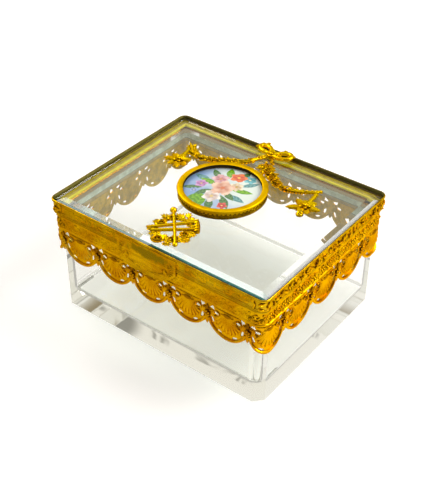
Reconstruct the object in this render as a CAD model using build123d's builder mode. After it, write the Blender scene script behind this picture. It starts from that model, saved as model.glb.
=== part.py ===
from build123d import *
import os
from math import atan2, cos, degrees, floor, hypot, pi, radians, sin, sqrt

os.makedirs("parts", exist_ok=True)

# A crystal casket with a hinged glass lid in gilt brass mounts.
# Millimetres. The origin is the middle of the base, +X runs along the length,
# -Y is the front and +Z is up. The lid is closed.

# ---------------------------------------------------------------- crystal body
CRYSTAL_LENGTH = 135.2
CRYSTAL_WIDTH = 109.6
CRYSTAL_HEIGHT = 63.4
CRYSTAL_WALL = 5.0
CRYSTAL_FLOOR = 12.0
CORNER_FACET = 4.8  # leg of the vertical corner facet
BASE_BEVEL = 3.0
RIM_BEVEL = 0.6
CAVITY_RADIUS = 4.0
FLOOR_FILLET = 2.5

# ------------------------------------------------------ collar and gallery
BEDDING = 0.1  # cement between brass and glass
COLLAR_SHEET = 1.2
COLLAR_DROP = 8.1  # how far the collar reaches down from the crystal's rim
COLLAR_LIP = 2.2  # how far the lip reaches in over the glass edge
LIP_SHEET = 0.7
BEAD_RISE = 0.5
BEAD_HEIGHT = 1.2
GALLERY_SHEET = 1.0
GALLERY_DROP = 18.3
SCALLOP_PITCH = 24.0
SCALLOP_SHIFT = -1.2  # of the scallops along each side, off its middle
JOINT_LEAF_WIDTH = 3.2
JOINT_LEAF_DROP = 13.2
JOINT_LEAF_ROUNDING = 1.4
CORNER_FACETS = 6
# Slots on each side of a shell: direction and distance from the scallop's middle,
# how far the slot is turned from that direction, length and width
SLOTS = (
    (13, 6.8, 0, 2.6, 1.6),
    (-20, 9.4, 90, 3.4, 1.3),
    (-62, 9.8, 90, 3.2, 1.2),
)
FLOWER_RADIUS = 2.5
FLOWER_RISE = 0.8
FLOWER_DROP = 6.2
PIERCING_RADIUS = 1.9  # of the three-sided holes beside each joint's leaf
PIERCING_SPACING = 3.1
PIERCING_DROP = 1.7

# ------------------------------------------------------------------------ lid
PARTING_GAP = 0.3
LID_OVERHANG_ENDS = 2.4  # how far the lid's edge stands out past the crystal
LID_OVERHANG_FRONT = 2.2  # and as far at the back
LID_RADIUS = 4.5
LEAST_RADIUS = 0.5  # of an outline far inside the lid's edge
LID_HEIGHT = 8.5
RIM_WIDTH = 1.5
RIM_HEIGHT = 1.4
COVE_DEPTH = 0.7
FOOT_INSET = 0.5
FOOT_HEIGHT = 1.6
SKIRT_WIDTH = 3.2
LEDGE_WIDTH = 5.0
LEDGE_SHEET = 1.2
GLASS_FIT = 0.1
GLASS_THICKNESS = 5.2
GLASS_RECESS = 0.3
GLASS_BEVEL_WIDTH = 5.0
GLASS_BEVEL_DEPTH = 1.6

# ---------------------------------------------------------------- thumb lift
LIFT_WIDTH = 38.6
LIFT_SHIFT = -2.8  # of its middle, off the middle of the front
LIFT_SHEET = 1.0
LIFT_TOP_DROP = 2.0  # from the lid's top down to the upper edge
LIFT_REACH = 7.4  # how far it hangs below the lid
LIFT_FLARE = 2.6
LIFT_CORNER = 2.5

# --------------------------------------------------------------------- hinge
KNUCKLE_COUNT = 5
KNUCKLE_LENGTH = 9.0
KNUCKLE_GAP = 0.25
KNUCKLE_RADIUS = 1.8
PIN_RADIUS = 0.9
PIN_FIT = 0.05
PIN_END = 0.5
HINGE_CLEARANCE = 0.4
LEAF_SHEET = 1.0
BODY_LEAF_HEIGHT = 5.0
LID_LEAF_HEIGHT = 4.4

# ----------------------------------------------------------------- medallion
MEDALLION_Y = 3.0
MEDALLION_RADIUS = 24.0
MEDALLION_HEIGHT = 5.0
MEDALLION_SEAT = 22.0
MEDALLION_OPENING = 21.2
MEDALLION_EDGE = 1.0
BACKPLATE_SHEET = 0.8
PLAQUE_EDGE = 1.6
PLAQUE_DOME = 1.0
PLAQUE_FIT = 0.1

# ----------------------------------------------------------- lid ornaments
BOW_LOOP_X = 6.8
BOW_LOOP_INSET = 4.8  # from the lid's back edge
BOW_LOOP_RADII = (5.4, 3.8)
BOW_LOOP_BAND = 1.9
BOW_LOOP_TURN = 20
BOW_KNOT_INSET = 9.0  # from the lid's back edge
BOW_KNOT_RADIUS = 2.6
BOW_THICKNESS = 3.2
# Leaf clusters along each garland, from beside the bow to the hook, as (place),
# radius. A place is percent of the lid's half length, and percent of the way from
# the medallion's back to the bow's knot.
GARLAND_LEFT = (
    ((-4.9, 79.0), 1.3),
    ((-7.4, 59.0), 1.4),
    ((-10.9, 36.2), 1.8),
    ((-18.0, 20.0), 2.3),
    ((-25.1, 8.6), 2.4),
    ((-32.6, -9.5), 2.2),
    ((-42.0, -21.0), 1.9),
    ((-51.4, -15.2), 1.6),
    ((-59.4, 8.6), 2.0),
)
GARLAND_RIGHT = (
    ((6.3, 45.7), 2.0),
    ((10.6, 31.4), 2.6),
    ((16.0, 21.0), 2.8),
    ((21.7, 8.6), 2.3),
    ((28.9, -5.7), 2.1),
    ((35.1, -8.6), 1.9),
    ((41.1, -2.9), 1.8),
    ((47.1, 6.7), 1.6),
    ((52.9, 19.0), 1.5),
    ((58.3, 33.3), 2.0),
)
GARLAND_WIDTH = 1.9
GARLAND_THICKNESS = 2.0
# Each drop: its middle from its garland's hook, then its leaves as (direction,
# reach, half width)
DROP_LEFT = (
    (3.2, -15.4),
    (
        (40, 5.6, 1.9),
        (98, 5.4, 1.7),
        (176, 5.2, 1.7),
        (212, 6.4, 1.7),
        (292, 5.6, 1.9),
        (334, 5.2, 1.8),
    ),
)
DROP_RIGHT = (
    (1.2, -16.0),
    (
        (10, 6.8, 1.8),
        (66, 5.0, 1.8),
        (150, 4.8, 1.9),
        (228, 8.0, 1.7),
        (284, 6.6, 2.1),
    ),
)
DROP_CORE_RADIUS = 4.0
DROP_STEM_WIDTH = 1.5
DROP_THICKNESS = 1.8
DROP_GAP = 0.3
WREATH_X = 0.4
WREATH_BAND = 3.2
WREATH_MARGIN = 7.25  # from the band's middle to the medallion and to the front rim
WREATH_THICKNESS = 1.6
# Flowers and leaf tufts: direction, how far outside the band's middle, radius
WREATH_TUFTS = (
    (188, -2.1, 3.2),
    (269, 2.0, 3.3),
    (350, -1.5, 3.0),
    (109, 0.6, 2.8),
    (94, 3.1, 2.0),
    (140, 0.2, 2.2),
    (333, 1.9, 2.5),
    (294, 2.4, 2.6),
    (237, 0.9, 2.6),
)
# The crossed staves, drawn over the wreath: start and end placed likewise, width
WREATH_STAVES = (
    ((129, 4.2), (312, 4.6), 1.6),
    ((216, 3.4), (59, 0.8), 1.8),
    ((231, 0.8), (27, -0.7), 1.8),
    ((60, 2.3), (24, 1.8), 3.0),
)
STAFF_KNOB = 1.9
STAVE_THICKNESS = 2.4

# ------------------------------------------------------------- levels (along Z)
collar_top = CRYSTAL_HEIGHT + BEDDING + LIP_SHEET
collar_bottom = CRYSTAL_HEIGHT - COLLAR_DROP
lid_bottom = collar_top + PARTING_GAP
lid_top = lid_bottom + LID_HEIGHT
glass_top = lid_top - GLASS_RECESS
ledge_top = glass_top - GLASS_THICKNESS

# ------------------------------------------------------ shared plan outlines
collar_inside = BEDDING
collar_outside = BEDDING + COLLAR_SHEET
gallery_outside = BEDDING + GALLERY_SHEET
lid_length = CRYSTAL_LENGTH + 2 * LID_OVERHANG_ENDS
lid_width = CRYSTAL_WIDTH + 2 * LID_OVERHANG_FRONT
lid_back = lid_width / 2
collar_back = CRYSTAL_WIDTH / 2 + collar_outside


def finish(part, name):
    """Label a finished piece and write it to its own file."""
    part.label = name
    export_step(part, f"parts/{name}.step")


def round_the_crystal(offset_out):
    """A plan outline parallel to the crystal's side, as far outside it as asked."""
    RectangleRounded(
        CRYSTAL_LENGTH + 2 * offset_out,
        CRYSTAL_WIDTH + 2 * offset_out,
        CORNER_FACET + offset_out,
    )


def inside_the_lid(inset):
    """A plan outline parallel to the lid's edge, as far inside it as asked."""
    RectangleRounded(
        lid_length - 2 * inset,
        lid_width - 2 * inset,
        max(LID_RADIUS - inset, LEAST_RADIUS),
    )


# ================================================================ crystal body
with BuildPart() as crystal:
    with BuildSketch() as crystal_plan:
        Rectangle(CRYSTAL_LENGTH, CRYSTAL_WIDTH)
        chamfer(crystal_plan.vertices(), CORNER_FACET)
    extrude(amount=CRYSTAL_HEIGHT)
    chamfer(crystal.faces().sort_by(Axis.Z)[0].edges(), BASE_BEVEL)
    with BuildSketch(Plane.XY.offset(CRYSTAL_FLOOR)):
        RectangleRounded(
            CRYSTAL_LENGTH - 2 * CRYSTAL_WALL,
            CRYSTAL_WIDTH - 2 * CRYSTAL_WALL,
            CAVITY_RADIUS,
        )
    extrude(amount=CRYSTAL_HEIGHT - CRYSTAL_FLOOR, mode=Mode.SUBTRACT)
    cavity_floor = crystal.faces().filter_by(Axis.Z).sort_by(Axis.Z)[1]
    fillet(cavity_floor.edges(), FLOOR_FILLET)
    chamfer(crystal.faces().sort_by(Axis.Z)[-1].inner_wires()[0].edges(), RIM_BEVEL)
finish(crystal.part, "crystal_body")

# ====================================================================== collar
with BuildPart() as collar:
    with BuildSketch(Plane.XY.offset(collar_bottom)):
        round_the_crystal(collar_outside)
    extrude(amount=collar_top - collar_bottom)
    with BuildSketch(Plane.XY.offset(collar_bottom)):
        round_the_crystal(collar_outside + BEAD_RISE)
    extrude(amount=BEAD_HEIGHT)
    with BuildSketch(Plane.XY.offset(collar_bottom)):
        round_the_crystal(collar_inside)
    extrude(amount=CRYSTAL_HEIGHT + BEDDING - collar_bottom, mode=Mode.SUBTRACT)
    with BuildSketch(Plane.XY.offset(collar_bottom)):
        round_the_crystal(-COLLAR_LIP)
    extrude(amount=collar_top - collar_bottom, mode=Mode.SUBTRACT)
finish(collar.part, "collar_rim")

# ===================================================================== gallery
# The strip's face runs round the crystal. A quarter of its length holds a whole
# number of scallops, so that the joints come out alike on facing sides.
face_half_length = CRYSTAL_LENGTH / 2 + gallery_outside
face_half_width = CRYSTAL_WIDTH / 2 + gallery_outside
face_radius = CORNER_FACET + gallery_outside
corner_arc = pi / 2 * face_radius
quarter = face_half_length + face_half_width - 2 * face_radius + corner_arc
quarter_count = round(quarter / SCALLOP_PITCH)
pitch = quarter / quarter_count
front_count = floor(2 * (face_half_length - face_radius) / pitch)
side_count = 2 * (quarter_count - 1) - front_count
scallop_radius = pitch / 2
scallop_centre_drop = GALLERY_DROP - scallop_radius


def strip_plane(half_run, half_depth, along, inward=0.0):
    """The plane that touches the strip's face at a distance along it.

    Distances start at the middle of the strip's own side. The plane's x follows
    the strip, its y is up from the collar's lower edge and its z points outward.
    """
    flat = half_run - face_radius
    angle = min(max((along - flat) / face_radius, 0.0), pi / 2)
    rest = max(along - flat - corner_arc, 0.0)
    x = min(along, flat) + (face_radius - inward) * sin(angle)
    y = -half_depth + face_radius - (face_radius - inward) * cos(angle) + rest
    return Plane(
        origin=(x, y, collar_bottom),
        x_dir=(cos(angle), sin(angle), 0),
        z_dir=(sin(angle), -cos(angle), 0),
    )


def flat_run(plane, middle, start, end, centres, joints):
    """A straight stretch of the scalloped outline, between two distances."""
    span = (start + end) / 2 - middle
    with BuildSketch(plane) as outline:
        with Locations(*[(centre - middle, -scallop_centre_drop) for centre in centres]):
            Circle(scallop_radius)
        with Locations((span, -scallop_centre_drop / 2)):
            Rectangle(end - start, scallop_centre_drop)
        with Locations(*[(joint - middle, -JOINT_LEAF_DROP / 2) for joint in joints]):
            RectangleRounded(JOINT_LEAF_WIDTH, JOINT_LEAF_DROP, JOINT_LEAF_ROUNDING)
        with Locations((span, -GALLERY_DROP / 2)):
            Rectangle(end - start, GALLERY_DROP, mode=Mode.INTERSECT)
    extrude(outline.sketch, amount=-GALLERY_SHEET)


def corner_run(half_run, half_depth, centre):
    """The bent stretch, as narrow mitred facets under the scallop's arc."""
    step = corner_arc / CORNER_FACETS
    half_angle = pi / 4 / CORNER_FACETS
    for index in range(CORNER_FACETS):
        near = half_run - face_radius + index * step
        drops = []
        for along in (near, near + step):
            across = min(abs(along - centre), scallop_radius)
            drops.append(scallop_centre_drop + sqrt(scallop_radius**2 - across**2))
        skins = []
        for radius in (face_radius, face_radius - GALLERY_SHEET):
            reach = radius * sin(half_angle)
            sink = face_radius - radius * cos(half_angle)
            with BuildSketch(strip_plane(half_run, half_depth, near + step / 2, sink)) as skin:
                Polygon((-reach, 0), (reach, 0), (reach, -drops[1]), (-reach, -drops[0]), align=None)
            skins.append(skin.sketch)
        loft(skins, ruled=True)


def piercings(half_run, half_depth, centre):
    """The cutters of one scallop: slots round its shell and a hole beside each joint."""
    cutters = []
    for side in (-1, 1):
        for angle, distance, turn, length, width in SLOTS:
            along = centre + side * distance * cos(radians(angle))
            height = distance * sin(radians(angle)) - scallop_centre_drop
            with BuildSketch(strip_plane(half_run, half_depth, along, GALLERY_SHEET / 2)) as slot:
                with Locations(Location((0, height, 0), (0, 0, side * (angle + turn)))):
                    SlotOverall(length, width)
            cutters.append(extrude(slot.sketch, amount=GALLERY_SHEET, both=True, mode=Mode.PRIVATE))
        along = centre + side * (pitch / 2 - PIERCING_SPACING)
        with BuildSketch(strip_plane(half_run, half_depth, along, GALLERY_SHEET / 2)) as hole:
            with Locations(Location((0, -PIERCING_DROP, 0), (0, 0, -90))):
                RegularPolygon(PIERCING_RADIUS, 3)
        cutters.append(extrude(hole.sketch, amount=GALLERY_SHEET, both=True, mode=Mode.PRIVATE))
    return cutters


def make_gallery(half_run, half_depth, count):
    """A strip from the first joint on its side to the joint past its corner."""
    first = SCALLOP_SHIFT - count * pitch / 2
    last = first + (count + 1) * pitch
    flat = half_run - face_radius
    bent = flat + corner_arc
    centres = [first + pitch * (index + 0.5) for index in range(count + 1)]
    joints = [first + pitch * index for index in range(count + 2)]
    with BuildPart() as gallery:
        flat_run(strip_plane(half_run, half_depth, 0), 0, first, flat, centres, joints[:-1])
        flat_run(strip_plane(half_run, half_depth, bent), bent, bent, last, centres[-1:], joints[-1:])
        corner_run(half_run, half_depth, centres[-1])
        cutters = [cutter for centre in centres for cutter in piercings(half_run, half_depth, centre)]
        add(cutters, mode=Mode.SUBTRACT)
        for joint in joints[1:]:
            with BuildSketch(strip_plane(half_run, half_depth, joint)):
                with Locations((0, -FLOWER_DROP)):
                    Circle(FLOWER_RADIUS)
        extrude(amount=FLOWER_RISE)
    return gallery.part


long_strip = make_gallery(face_half_length, face_half_width, front_count)
finish(long_strip, "gallery_front")
finish(long_strip.rotate(Axis.Z, 180), "gallery_back")
short_strip = make_gallery(face_half_width, face_half_length, side_count)
finish(short_strip.rotate(Axis.Z, 90), "gallery_right")
finish(short_strip.rotate(Axis.Z, 270), "gallery_left")

# =================================================================== lid frame
with BuildPart() as lid_frame:
    with BuildSketch(Plane.XY.offset(lid_bottom)):
        inside_the_lid(FOOT_INSET)
    extrude(amount=FOOT_HEIGHT)
    with BuildSketch(Plane.XY.offset(lid_bottom)):
        inside_the_lid(COVE_DEPTH)
    extrude(amount=LID_HEIGHT)
    with BuildSketch(Plane.XY.offset(lid_top - RIM_HEIGHT)):
        inside_the_lid(0)
    extrude(amount=RIM_HEIGHT)
    with BuildSketch(Plane.XY.offset(ledge_top)):
        inside_the_lid(RIM_WIDTH)
    extrude(amount=lid_top - ledge_top, mode=Mode.SUBTRACT)
    with BuildSketch(Plane.XY.offset(lid_bottom)):
        inside_the_lid(SKIRT_WIDTH)
    extrude(amount=ledge_top - LEDGE_SHEET - lid_bottom, mode=Mode.SUBTRACT)
    with BuildSketch(Plane.XY.offset(lid_bottom)):
        inside_the_lid(RIM_WIDTH + LEDGE_WIDTH)
    extrude(amount=LID_HEIGHT, mode=Mode.SUBTRACT)
finish(lid_frame.part, "lid_frame")

# =================================================================== lid glass
with BuildPart() as lid_glass:
    with BuildSketch(Plane.XY.offset(ledge_top)):
        inside_the_lid(RIM_WIDTH + GLASS_FIT)
    extrude(amount=GLASS_THICKNESS - GLASS_BEVEL_DEPTH)
    with BuildSketch(Plane.XY.offset(glass_top - GLASS_BEVEL_DEPTH)):
        inside_the_lid(RIM_WIDTH + GLASS_FIT)
    with BuildSketch(Plane.XY.offset(glass_top)):
        inside_the_lid(RIM_WIDTH + GLASS_FIT + GLASS_BEVEL_WIDTH)
    loft(ruled=True)
finish(lid_glass.part, "lid_glass")

# ================================================================== thumb lift
lift_back = FOOT_INSET - lid_back
lift_top = lid_top - LIFT_TOP_DROP
lift_bottom = lid_bottom - LIFT_REACH
with BuildPart() as thumb_lift:
    with BuildSketch(Plane.YZ.offset(LIFT_SHIFT - LIFT_WIDTH / 2)):
        with BuildLine():
            web = Line((lift_back - LIFT_SHEET / 2, lift_top), (lift_back - LIFT_SHEET / 2, lid_bottom))
            TangentArc(
                web @ 1,
                (lift_back - LIFT_SHEET / 2 - LIFT_FLARE, lift_bottom),
                tangent=web % 1,
            )
        trace(line_width=LIFT_SHEET)
    extrude(amount=LIFT_WIDTH)
    with BuildSketch(Plane.XZ.offset(lid_back - LIFT_SHEET)):
        with Locations((LIFT_SHIFT, (lift_top + lift_bottom) / 2)):
            RectangleRounded(LIFT_WIDTH, lift_top - lift_bottom, LIFT_CORNER)
    extrude(amount=LIFT_FLARE + 3 * LIFT_SHEET, both=True, mode=Mode.INTERSECT)
finish(thumb_lift.part, "thumb_lift")

# ======================================================================= hinge
hinge_y = lid_back + HINGE_CLEARANCE + KNUCKLE_RADIUS
hinge_z = collar_top + PARTING_GAP / 2
knuckle_pitch = KNUCKLE_LENGTH + KNUCKLE_GAP
hinge_length = KNUCKLE_COUNT * knuckle_pitch - KNUCKLE_GAP
knuckle_starts = [index * knuckle_pitch - hinge_length / 2 for index in range(KNUCKLE_COUNT)]
leaf_top = hinge_z + KNUCKLE_RADIUS + HINGE_CLEARANCE


def knuckles(starts):
    """Bored knuckles on the hinge axis."""
    for start in starts:
        with BuildSketch(Plane.YZ.offset(start)) as barrel:
            with Locations((hinge_y, hinge_z)):
                Circle(KNUCKLE_RADIUS)
        extrude(barrel.sketch, amount=KNUCKLE_LENGTH)
    with BuildSketch(Plane.YZ.offset(-hinge_length / 2)) as bore:
        with Locations((hinge_y, hinge_z)):
            Circle(PIN_RADIUS + PIN_FIT)
    extrude(bore.sketch, amount=hinge_length, mode=Mode.SUBTRACT)


with BuildPart() as body_leaf:
    shelf_top = hinge_z - KNUCKLE_RADIUS - HINGE_CLEARANCE
    with BuildSketch(Plane.YZ.offset(-hinge_length / 2)):
        with Locations((collar_back, shelf_top - BODY_LEAF_HEIGHT)):
            Rectangle(LEAF_SHEET, BODY_LEAF_HEIGHT, align=Align.MIN)
    extrude(amount=hinge_length)
    for start in knuckle_starts[::2]:
        with BuildSketch(Plane.YZ.offset(start)):
            with Locations((collar_back, shelf_top - LEAF_SHEET)):
                Rectangle(hinge_y + KNUCKLE_RADIUS / 2 - collar_back, LEAF_SHEET, align=Align.MIN)
            with Locations((hinge_y, shelf_top - LEAF_SHEET)):
                Rectangle(KNUCKLE_RADIUS, hinge_z - shelf_top, align=(Align.CENTER, Align.MIN))
        extrude(amount=KNUCKLE_LENGTH)
    knuckles(knuckle_starts[::2])
finish(body_leaf.part, "hinge_body_leaf")

with BuildPart() as lid_leaf:
    with BuildSketch(Plane.YZ.offset(-hinge_length / 2)):
        with Locations((lid_back, leaf_top)):
            Rectangle(LEAF_SHEET, LID_LEAF_HEIGHT, align=Align.MIN)
    extrude(amount=hinge_length)
    for start in knuckle_starts[1::2]:
        with BuildSketch(Plane.YZ.offset(start)):
            with Locations((hinge_y - KNUCKLE_RADIUS, hinge_z)):
                Rectangle(LEAF_SHEET, leaf_top + LEAF_SHEET - hinge_z, align=Align.MIN)
            with Locations((lid_back, leaf_top)):
                Rectangle(HINGE_CLEARANCE + LEAF_SHEET, LEAF_SHEET, align=Align.MIN)
        extrude(amount=KNUCKLE_LENGTH)
    knuckles(knuckle_starts[1::2])
finish(lid_leaf.part, "hinge_lid_leaf")

with BuildPart() as hinge_pin:
    with BuildSketch(Plane.YZ.offset(-hinge_length / 2 - PIN_END)):
        with Locations((hinge_y, hinge_z)):
            Circle(PIN_RADIUS)
    extrude(amount=hinge_length + 2 * PIN_END)
finish(hinge_pin.part, "hinge_pin")

# =================================================================== medallion
medallion_top = glass_top + MEDALLION_HEIGHT
plaque_bottom = glass_top + BACKPLATE_SHEET
plaque_shoulder = plaque_bottom + PLAQUE_EDGE
medallion_axis = Axis((0, MEDALLION_Y, 0), (0, 0, 1))
medallion_section = Plane(origin=(0, MEDALLION_Y, 0), x_dir=(1, 0, 0), z_dir=(0, -1, 0))

with BuildPart() as medallion_ring:
    with BuildSketch(medallion_section):
        with BuildLine():
            Polyline(
                (MEDALLION_SEAT + PLAQUE_FIT, glass_top),
                (MEDALLION_RADIUS, glass_top),
                (MEDALLION_RADIUS, medallion_top - MEDALLION_EDGE),
                (MEDALLION_RADIUS - MEDALLION_EDGE, medallion_top),
                (MEDALLION_OPENING + MEDALLION_EDGE, medallion_top),
                (MEDALLION_OPENING, medallion_top - MEDALLION_EDGE),
                (MEDALLION_OPENING, plaque_shoulder + PLAQUE_FIT),
                (MEDALLION_SEAT + PLAQUE_FIT, plaque_shoulder + PLAQUE_FIT),
                close=True,
            )
        make_face()
    revolve(axis=medallion_axis)
finish(medallion_ring.part, "medallion_ring")

with BuildPart() as backplate:
    with BuildSketch(Plane.XY.offset(glass_top)):
        with Locations((0, MEDALLION_Y)):
            Circle(MEDALLION_SEAT)
    extrude(amount=BACKPLATE_SHEET)
finish(backplate.part, "medallion_backplate")

with BuildPart() as plaque:
    with BuildSketch(medallion_section):
        with BuildLine():
            flat = Line((0, plaque_bottom), (MEDALLION_SEAT, plaque_bottom))
            rim = Line(flat @ 1, (MEDALLION_SEAT, plaque_shoulder))
            seat = Line(rim @ 1, (MEDALLION_OPENING, plaque_shoulder))
            dome = TangentArc(
                (0, plaque_shoulder + PLAQUE_DOME),
                seat @ 1,
                tangent=(1, 0),
            )
            Line(dome @ 0, flat @ 0)
        make_face()
    revolve(axis=medallion_axis)
finish(plaque.part, "porcelain_plaque")


# =============================================================== lid ornaments
bow_loop_y = lid_back - BOW_LOOP_INSET
bow_knot_y = lid_back - BOW_KNOT_INSET
ring_back = MEDALLION_Y + MEDALLION_RADIUS
ring_front = MEDALLION_Y - MEDALLION_RADIUS
rim_front = RIM_WIDTH - lid_back
wreath_y = (ring_front + rim_front) / 2
wreath_radius = (ring_front - rim_front) / 2 - WREATH_MARGIN


def behind_the_medallion(place):
    """A place of the garlands, from its two percentages."""
    across, away = place
    return (across / 100 * lid_length / 2, ring_back + away / 100 * (bow_knot_y - ring_back))


def on_the_wreath(direction, outside):
    """A place on the wreath, from its direction and how far outside the band's middle."""
    reach = wreath_radius + outside
    return (WREATH_X + reach * cos(radians(direction)), wreath_y + reach * sin(radians(direction)))


def bar(start, end, width):
    """A round-ended bar between two points of a plan sketch."""
    middle = ((start[0] + end[0]) / 2, (start[1] + end[1]) / 2)
    length = hypot(end[0] - start[0], end[1] - start[1])
    heading = degrees(atan2(end[1] - start[1], end[0] - start[0]))
    with Locations(Location((middle[0], middle[1], 0), (0, 0, heading))):
        SlotOverall(length + width, width)


def loops(radii, mode=Mode.ADD):
    """The bow's two loops, or the holes in them."""
    for side in (-1, 1):
        with Locations(Location((side * BOW_LOOP_X, bow_loop_y, 0), (0, 0, side * BOW_LOOP_TURN))):
            Ellipse(*radii, mode=mode)


# The bow bears on the rim behind it, and on the glass with the foot of its knot.
with BuildPart() as bow:
    with BuildSketch(Plane.XY.offset(lid_top)):
        loops(BOW_LOOP_RADII)
        for side in (-1, 1):
            bar((0, bow_knot_y), (side * BOW_LOOP_X, bow_loop_y), BOW_LOOP_BAND)
        loops([radius - BOW_LOOP_BAND for radius in BOW_LOOP_RADII], Mode.SUBTRACT)
    extrude(amount=BOW_THICKNESS)
    with BuildSketch(Plane.XY.offset(glass_top)):
        with Locations((0, bow_knot_y)):
            Circle(BOW_KNOT_RADIUS)
    extrude(amount=lid_top + BOW_THICKNESS - glass_top)
finish(bow.part, "ribbon_bow")


def make_garland(clusters):
    """A swag of leaf clusters, joined by a stem."""
    points = [behind_the_medallion(place) for place, radius in clusters]
    with BuildPart() as garland:
        with BuildSketch(Plane.XY.offset(glass_top)):
            for start, end in zip(points[:-1], points[1:]):
                bar(start, end, GARLAND_WIDTH)
            for point, (place, radius) in zip(points, clusters):
                with Locations(point):
                    Circle(radius)
        extrude(amount=GARLAND_THICKNESS)
    return garland.part


def make_drop(drop, hook):
    """A leaf cluster that hangs below a garland's hook."""
    (aside, down), leaves = drop
    hook_place, hook_radius = hook
    hook_x, hook_y = behind_the_medallion(hook_place)
    x, y = hook_x + aside, hook_y + down
    away = (hook_radius + DROP_GAP + DROP_STEM_WIDTH / 2) / hypot(aside, down)
    top = (hook_x + aside * away, hook_y + down * away)
    with BuildPart() as cluster:
        with BuildSketch(Plane.XY.offset(glass_top)):
            bar(top, (x, y), DROP_STEM_WIDTH)
            with Locations((x, y)):
                Circle(DROP_CORE_RADIUS)
            for direction, reach, half_width in leaves:
                tip = (x + reach * cos(radians(direction)), y + reach * sin(radians(direction)))
                bar((x, y), tip, 2 * half_width)
        extrude(amount=DROP_THICKNESS)
    return cluster.part


finish(make_garland(GARLAND_LEFT), "garland_left")
finish(make_garland(GARLAND_RIGHT), "garland_right")
finish(make_drop(DROP_LEFT, GARLAND_LEFT[-1]), "drop_left")
finish(make_drop(DROP_RIGHT, GARLAND_RIGHT[-1]), "drop_right")

with BuildPart() as wreath:
    with BuildSketch(Plane.XY.offset(glass_top)):
        with Locations((WREATH_X, wreath_y)):
            Circle(wreath_radius + WREATH_BAND / 2)
            Circle(wreath_radius - WREATH_BAND / 2, mode=Mode.SUBTRACT)
        for direction, outside, radius in WREATH_TUFTS:
            with Locations(on_the_wreath(direction, outside)):
                Circle(radius)
    extrude(amount=WREATH_THICKNESS)
    with BuildSketch(Plane.XY.offset(glass_top)):
        for start, end, width in WREATH_STAVES:
            bar(on_the_wreath(*start), on_the_wreath(*end), width)
        staff_start, staff_end, staff_width = WREATH_STAVES[0]
        with Locations(on_the_wreath(*staff_start), on_the_wreath(*staff_end)):
            Circle(STAFF_KNOB)
    extrude(amount=STAVE_THICKNESS)
finish(wreath.part, "wreath_mount")
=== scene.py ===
import random
from math import atan2, cos, degrees, hypot, log, pi, radians, sin

import bmesh
import bpy
from mathutils import Matrix, Vector


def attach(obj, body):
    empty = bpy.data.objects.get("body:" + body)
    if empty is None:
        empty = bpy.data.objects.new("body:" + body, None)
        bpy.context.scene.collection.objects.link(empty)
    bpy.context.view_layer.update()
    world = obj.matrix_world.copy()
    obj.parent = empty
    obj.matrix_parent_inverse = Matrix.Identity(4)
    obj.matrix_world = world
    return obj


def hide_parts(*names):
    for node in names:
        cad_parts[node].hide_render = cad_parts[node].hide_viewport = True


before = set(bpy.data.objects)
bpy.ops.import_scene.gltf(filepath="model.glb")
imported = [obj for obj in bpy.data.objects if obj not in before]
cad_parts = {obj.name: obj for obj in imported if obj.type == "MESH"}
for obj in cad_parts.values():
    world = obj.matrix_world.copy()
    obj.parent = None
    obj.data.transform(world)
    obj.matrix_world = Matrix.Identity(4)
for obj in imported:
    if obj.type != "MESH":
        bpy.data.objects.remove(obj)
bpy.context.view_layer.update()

random.seed(7)

# Lengths below are millimetres in the CAD's frame. A piece is scaled to metres
# when it is finished.
MM = 0.001

# The crystal body
CRYSTAL = (135.2, 109.6, 63.4)
WALL = 5.0
FLOOR = 12.0
FACET = 4.8
BASE_BEVEL = 3.0

# Bands round the box: half length, half width and corner radius of each face
COLLAR_FACE = (68.9, 56.1, 6.1)
GALLERY_FACE = (68.7, 55.9, 5.9)
LID_FACE = (70.0, 57.0, 4.5)
COLLAR_LOW = 55.3
COLLAR_TOP = 64.2
LID_LOW = 64.5
LID_TOP = 73.0
GLASS_TOP = 72.7
LEDGE_TOP = 67.5

# The gallery's scallops
PITCH = 24.414
SHIFT = -1.2
SCALLOPS = 20
LOBE_RADIUS = PITCH / 2
LOBE_CENTRE = LOBE_RADIUS - 18.3

# The medallion
RING_Y = 3.0
RING_RADIUS = 24.0
RING_OPENING = 21.2
RING_TOP = 77.7


# ============================================================ shader building
def node(tree, kind, links=None, **settings):
    """A node with its properties set and its inputs linked or given values."""
    made = tree.nodes.new("ShaderNode" + kind)
    for key, value in settings.items():
        setattr(made, key, value)
    for socket, source in (links or {}).items():
        if isinstance(source, bpy.types.NodeSocket):
            tree.links.new(source, made.inputs[socket])
        else:
            made.inputs[socket].default_value = source
    return made


def figure(tree, operation, *values, clamp=False):
    """A Math node's result."""
    made = node(tree, "Math", dict(enumerate(values)), operation=operation, use_clamp=clamp)
    return made.outputs[0]


def blend_colour(tree, share, first, second):
    """Two colours mixed by a share."""
    made = node(tree, "Mix", {0: share, 6: first, 7: second}, data_type="RGBA")
    return made.outputs[2]


def spread(tree, value, low, high, to_low=0.0, to_high=1.0):
    """A value moved smoothly from one range to another."""
    made = node(
        tree, "MapRange", {0: value, 1: low, 2: high, 3: to_low, 4: to_high},
        interpolation_type="SMOOTHSTEP",
    )
    return made.outputs[0]


def noise(tree, place, scale, detail=2.0, roughness=0.5):
    made = node(tree, "TexNoise", {"Vector": place, "Scale": scale, "Detail": detail, "Roughness": roughness})
    return made.outputs["Fac"]


def new_group(name, inputs, outputs):
    """A shader group, with its input and output nodes."""
    tree = bpy.data.node_groups.new(name, "ShaderNodeTree")
    for label, kind, value in inputs:
        socket = tree.interface.new_socket(name=label, in_out="INPUT", socket_type="NodeSocket" + kind)
        socket.default_value = value
    for label, kind in outputs:
        tree.interface.new_socket(name=label, in_out="OUTPUT", socket_type="NodeSocket" + kind)
    return tree, tree.nodes.new("NodeGroupInput").outputs, tree.nodes.new("NodeGroupOutput").inputs


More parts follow.
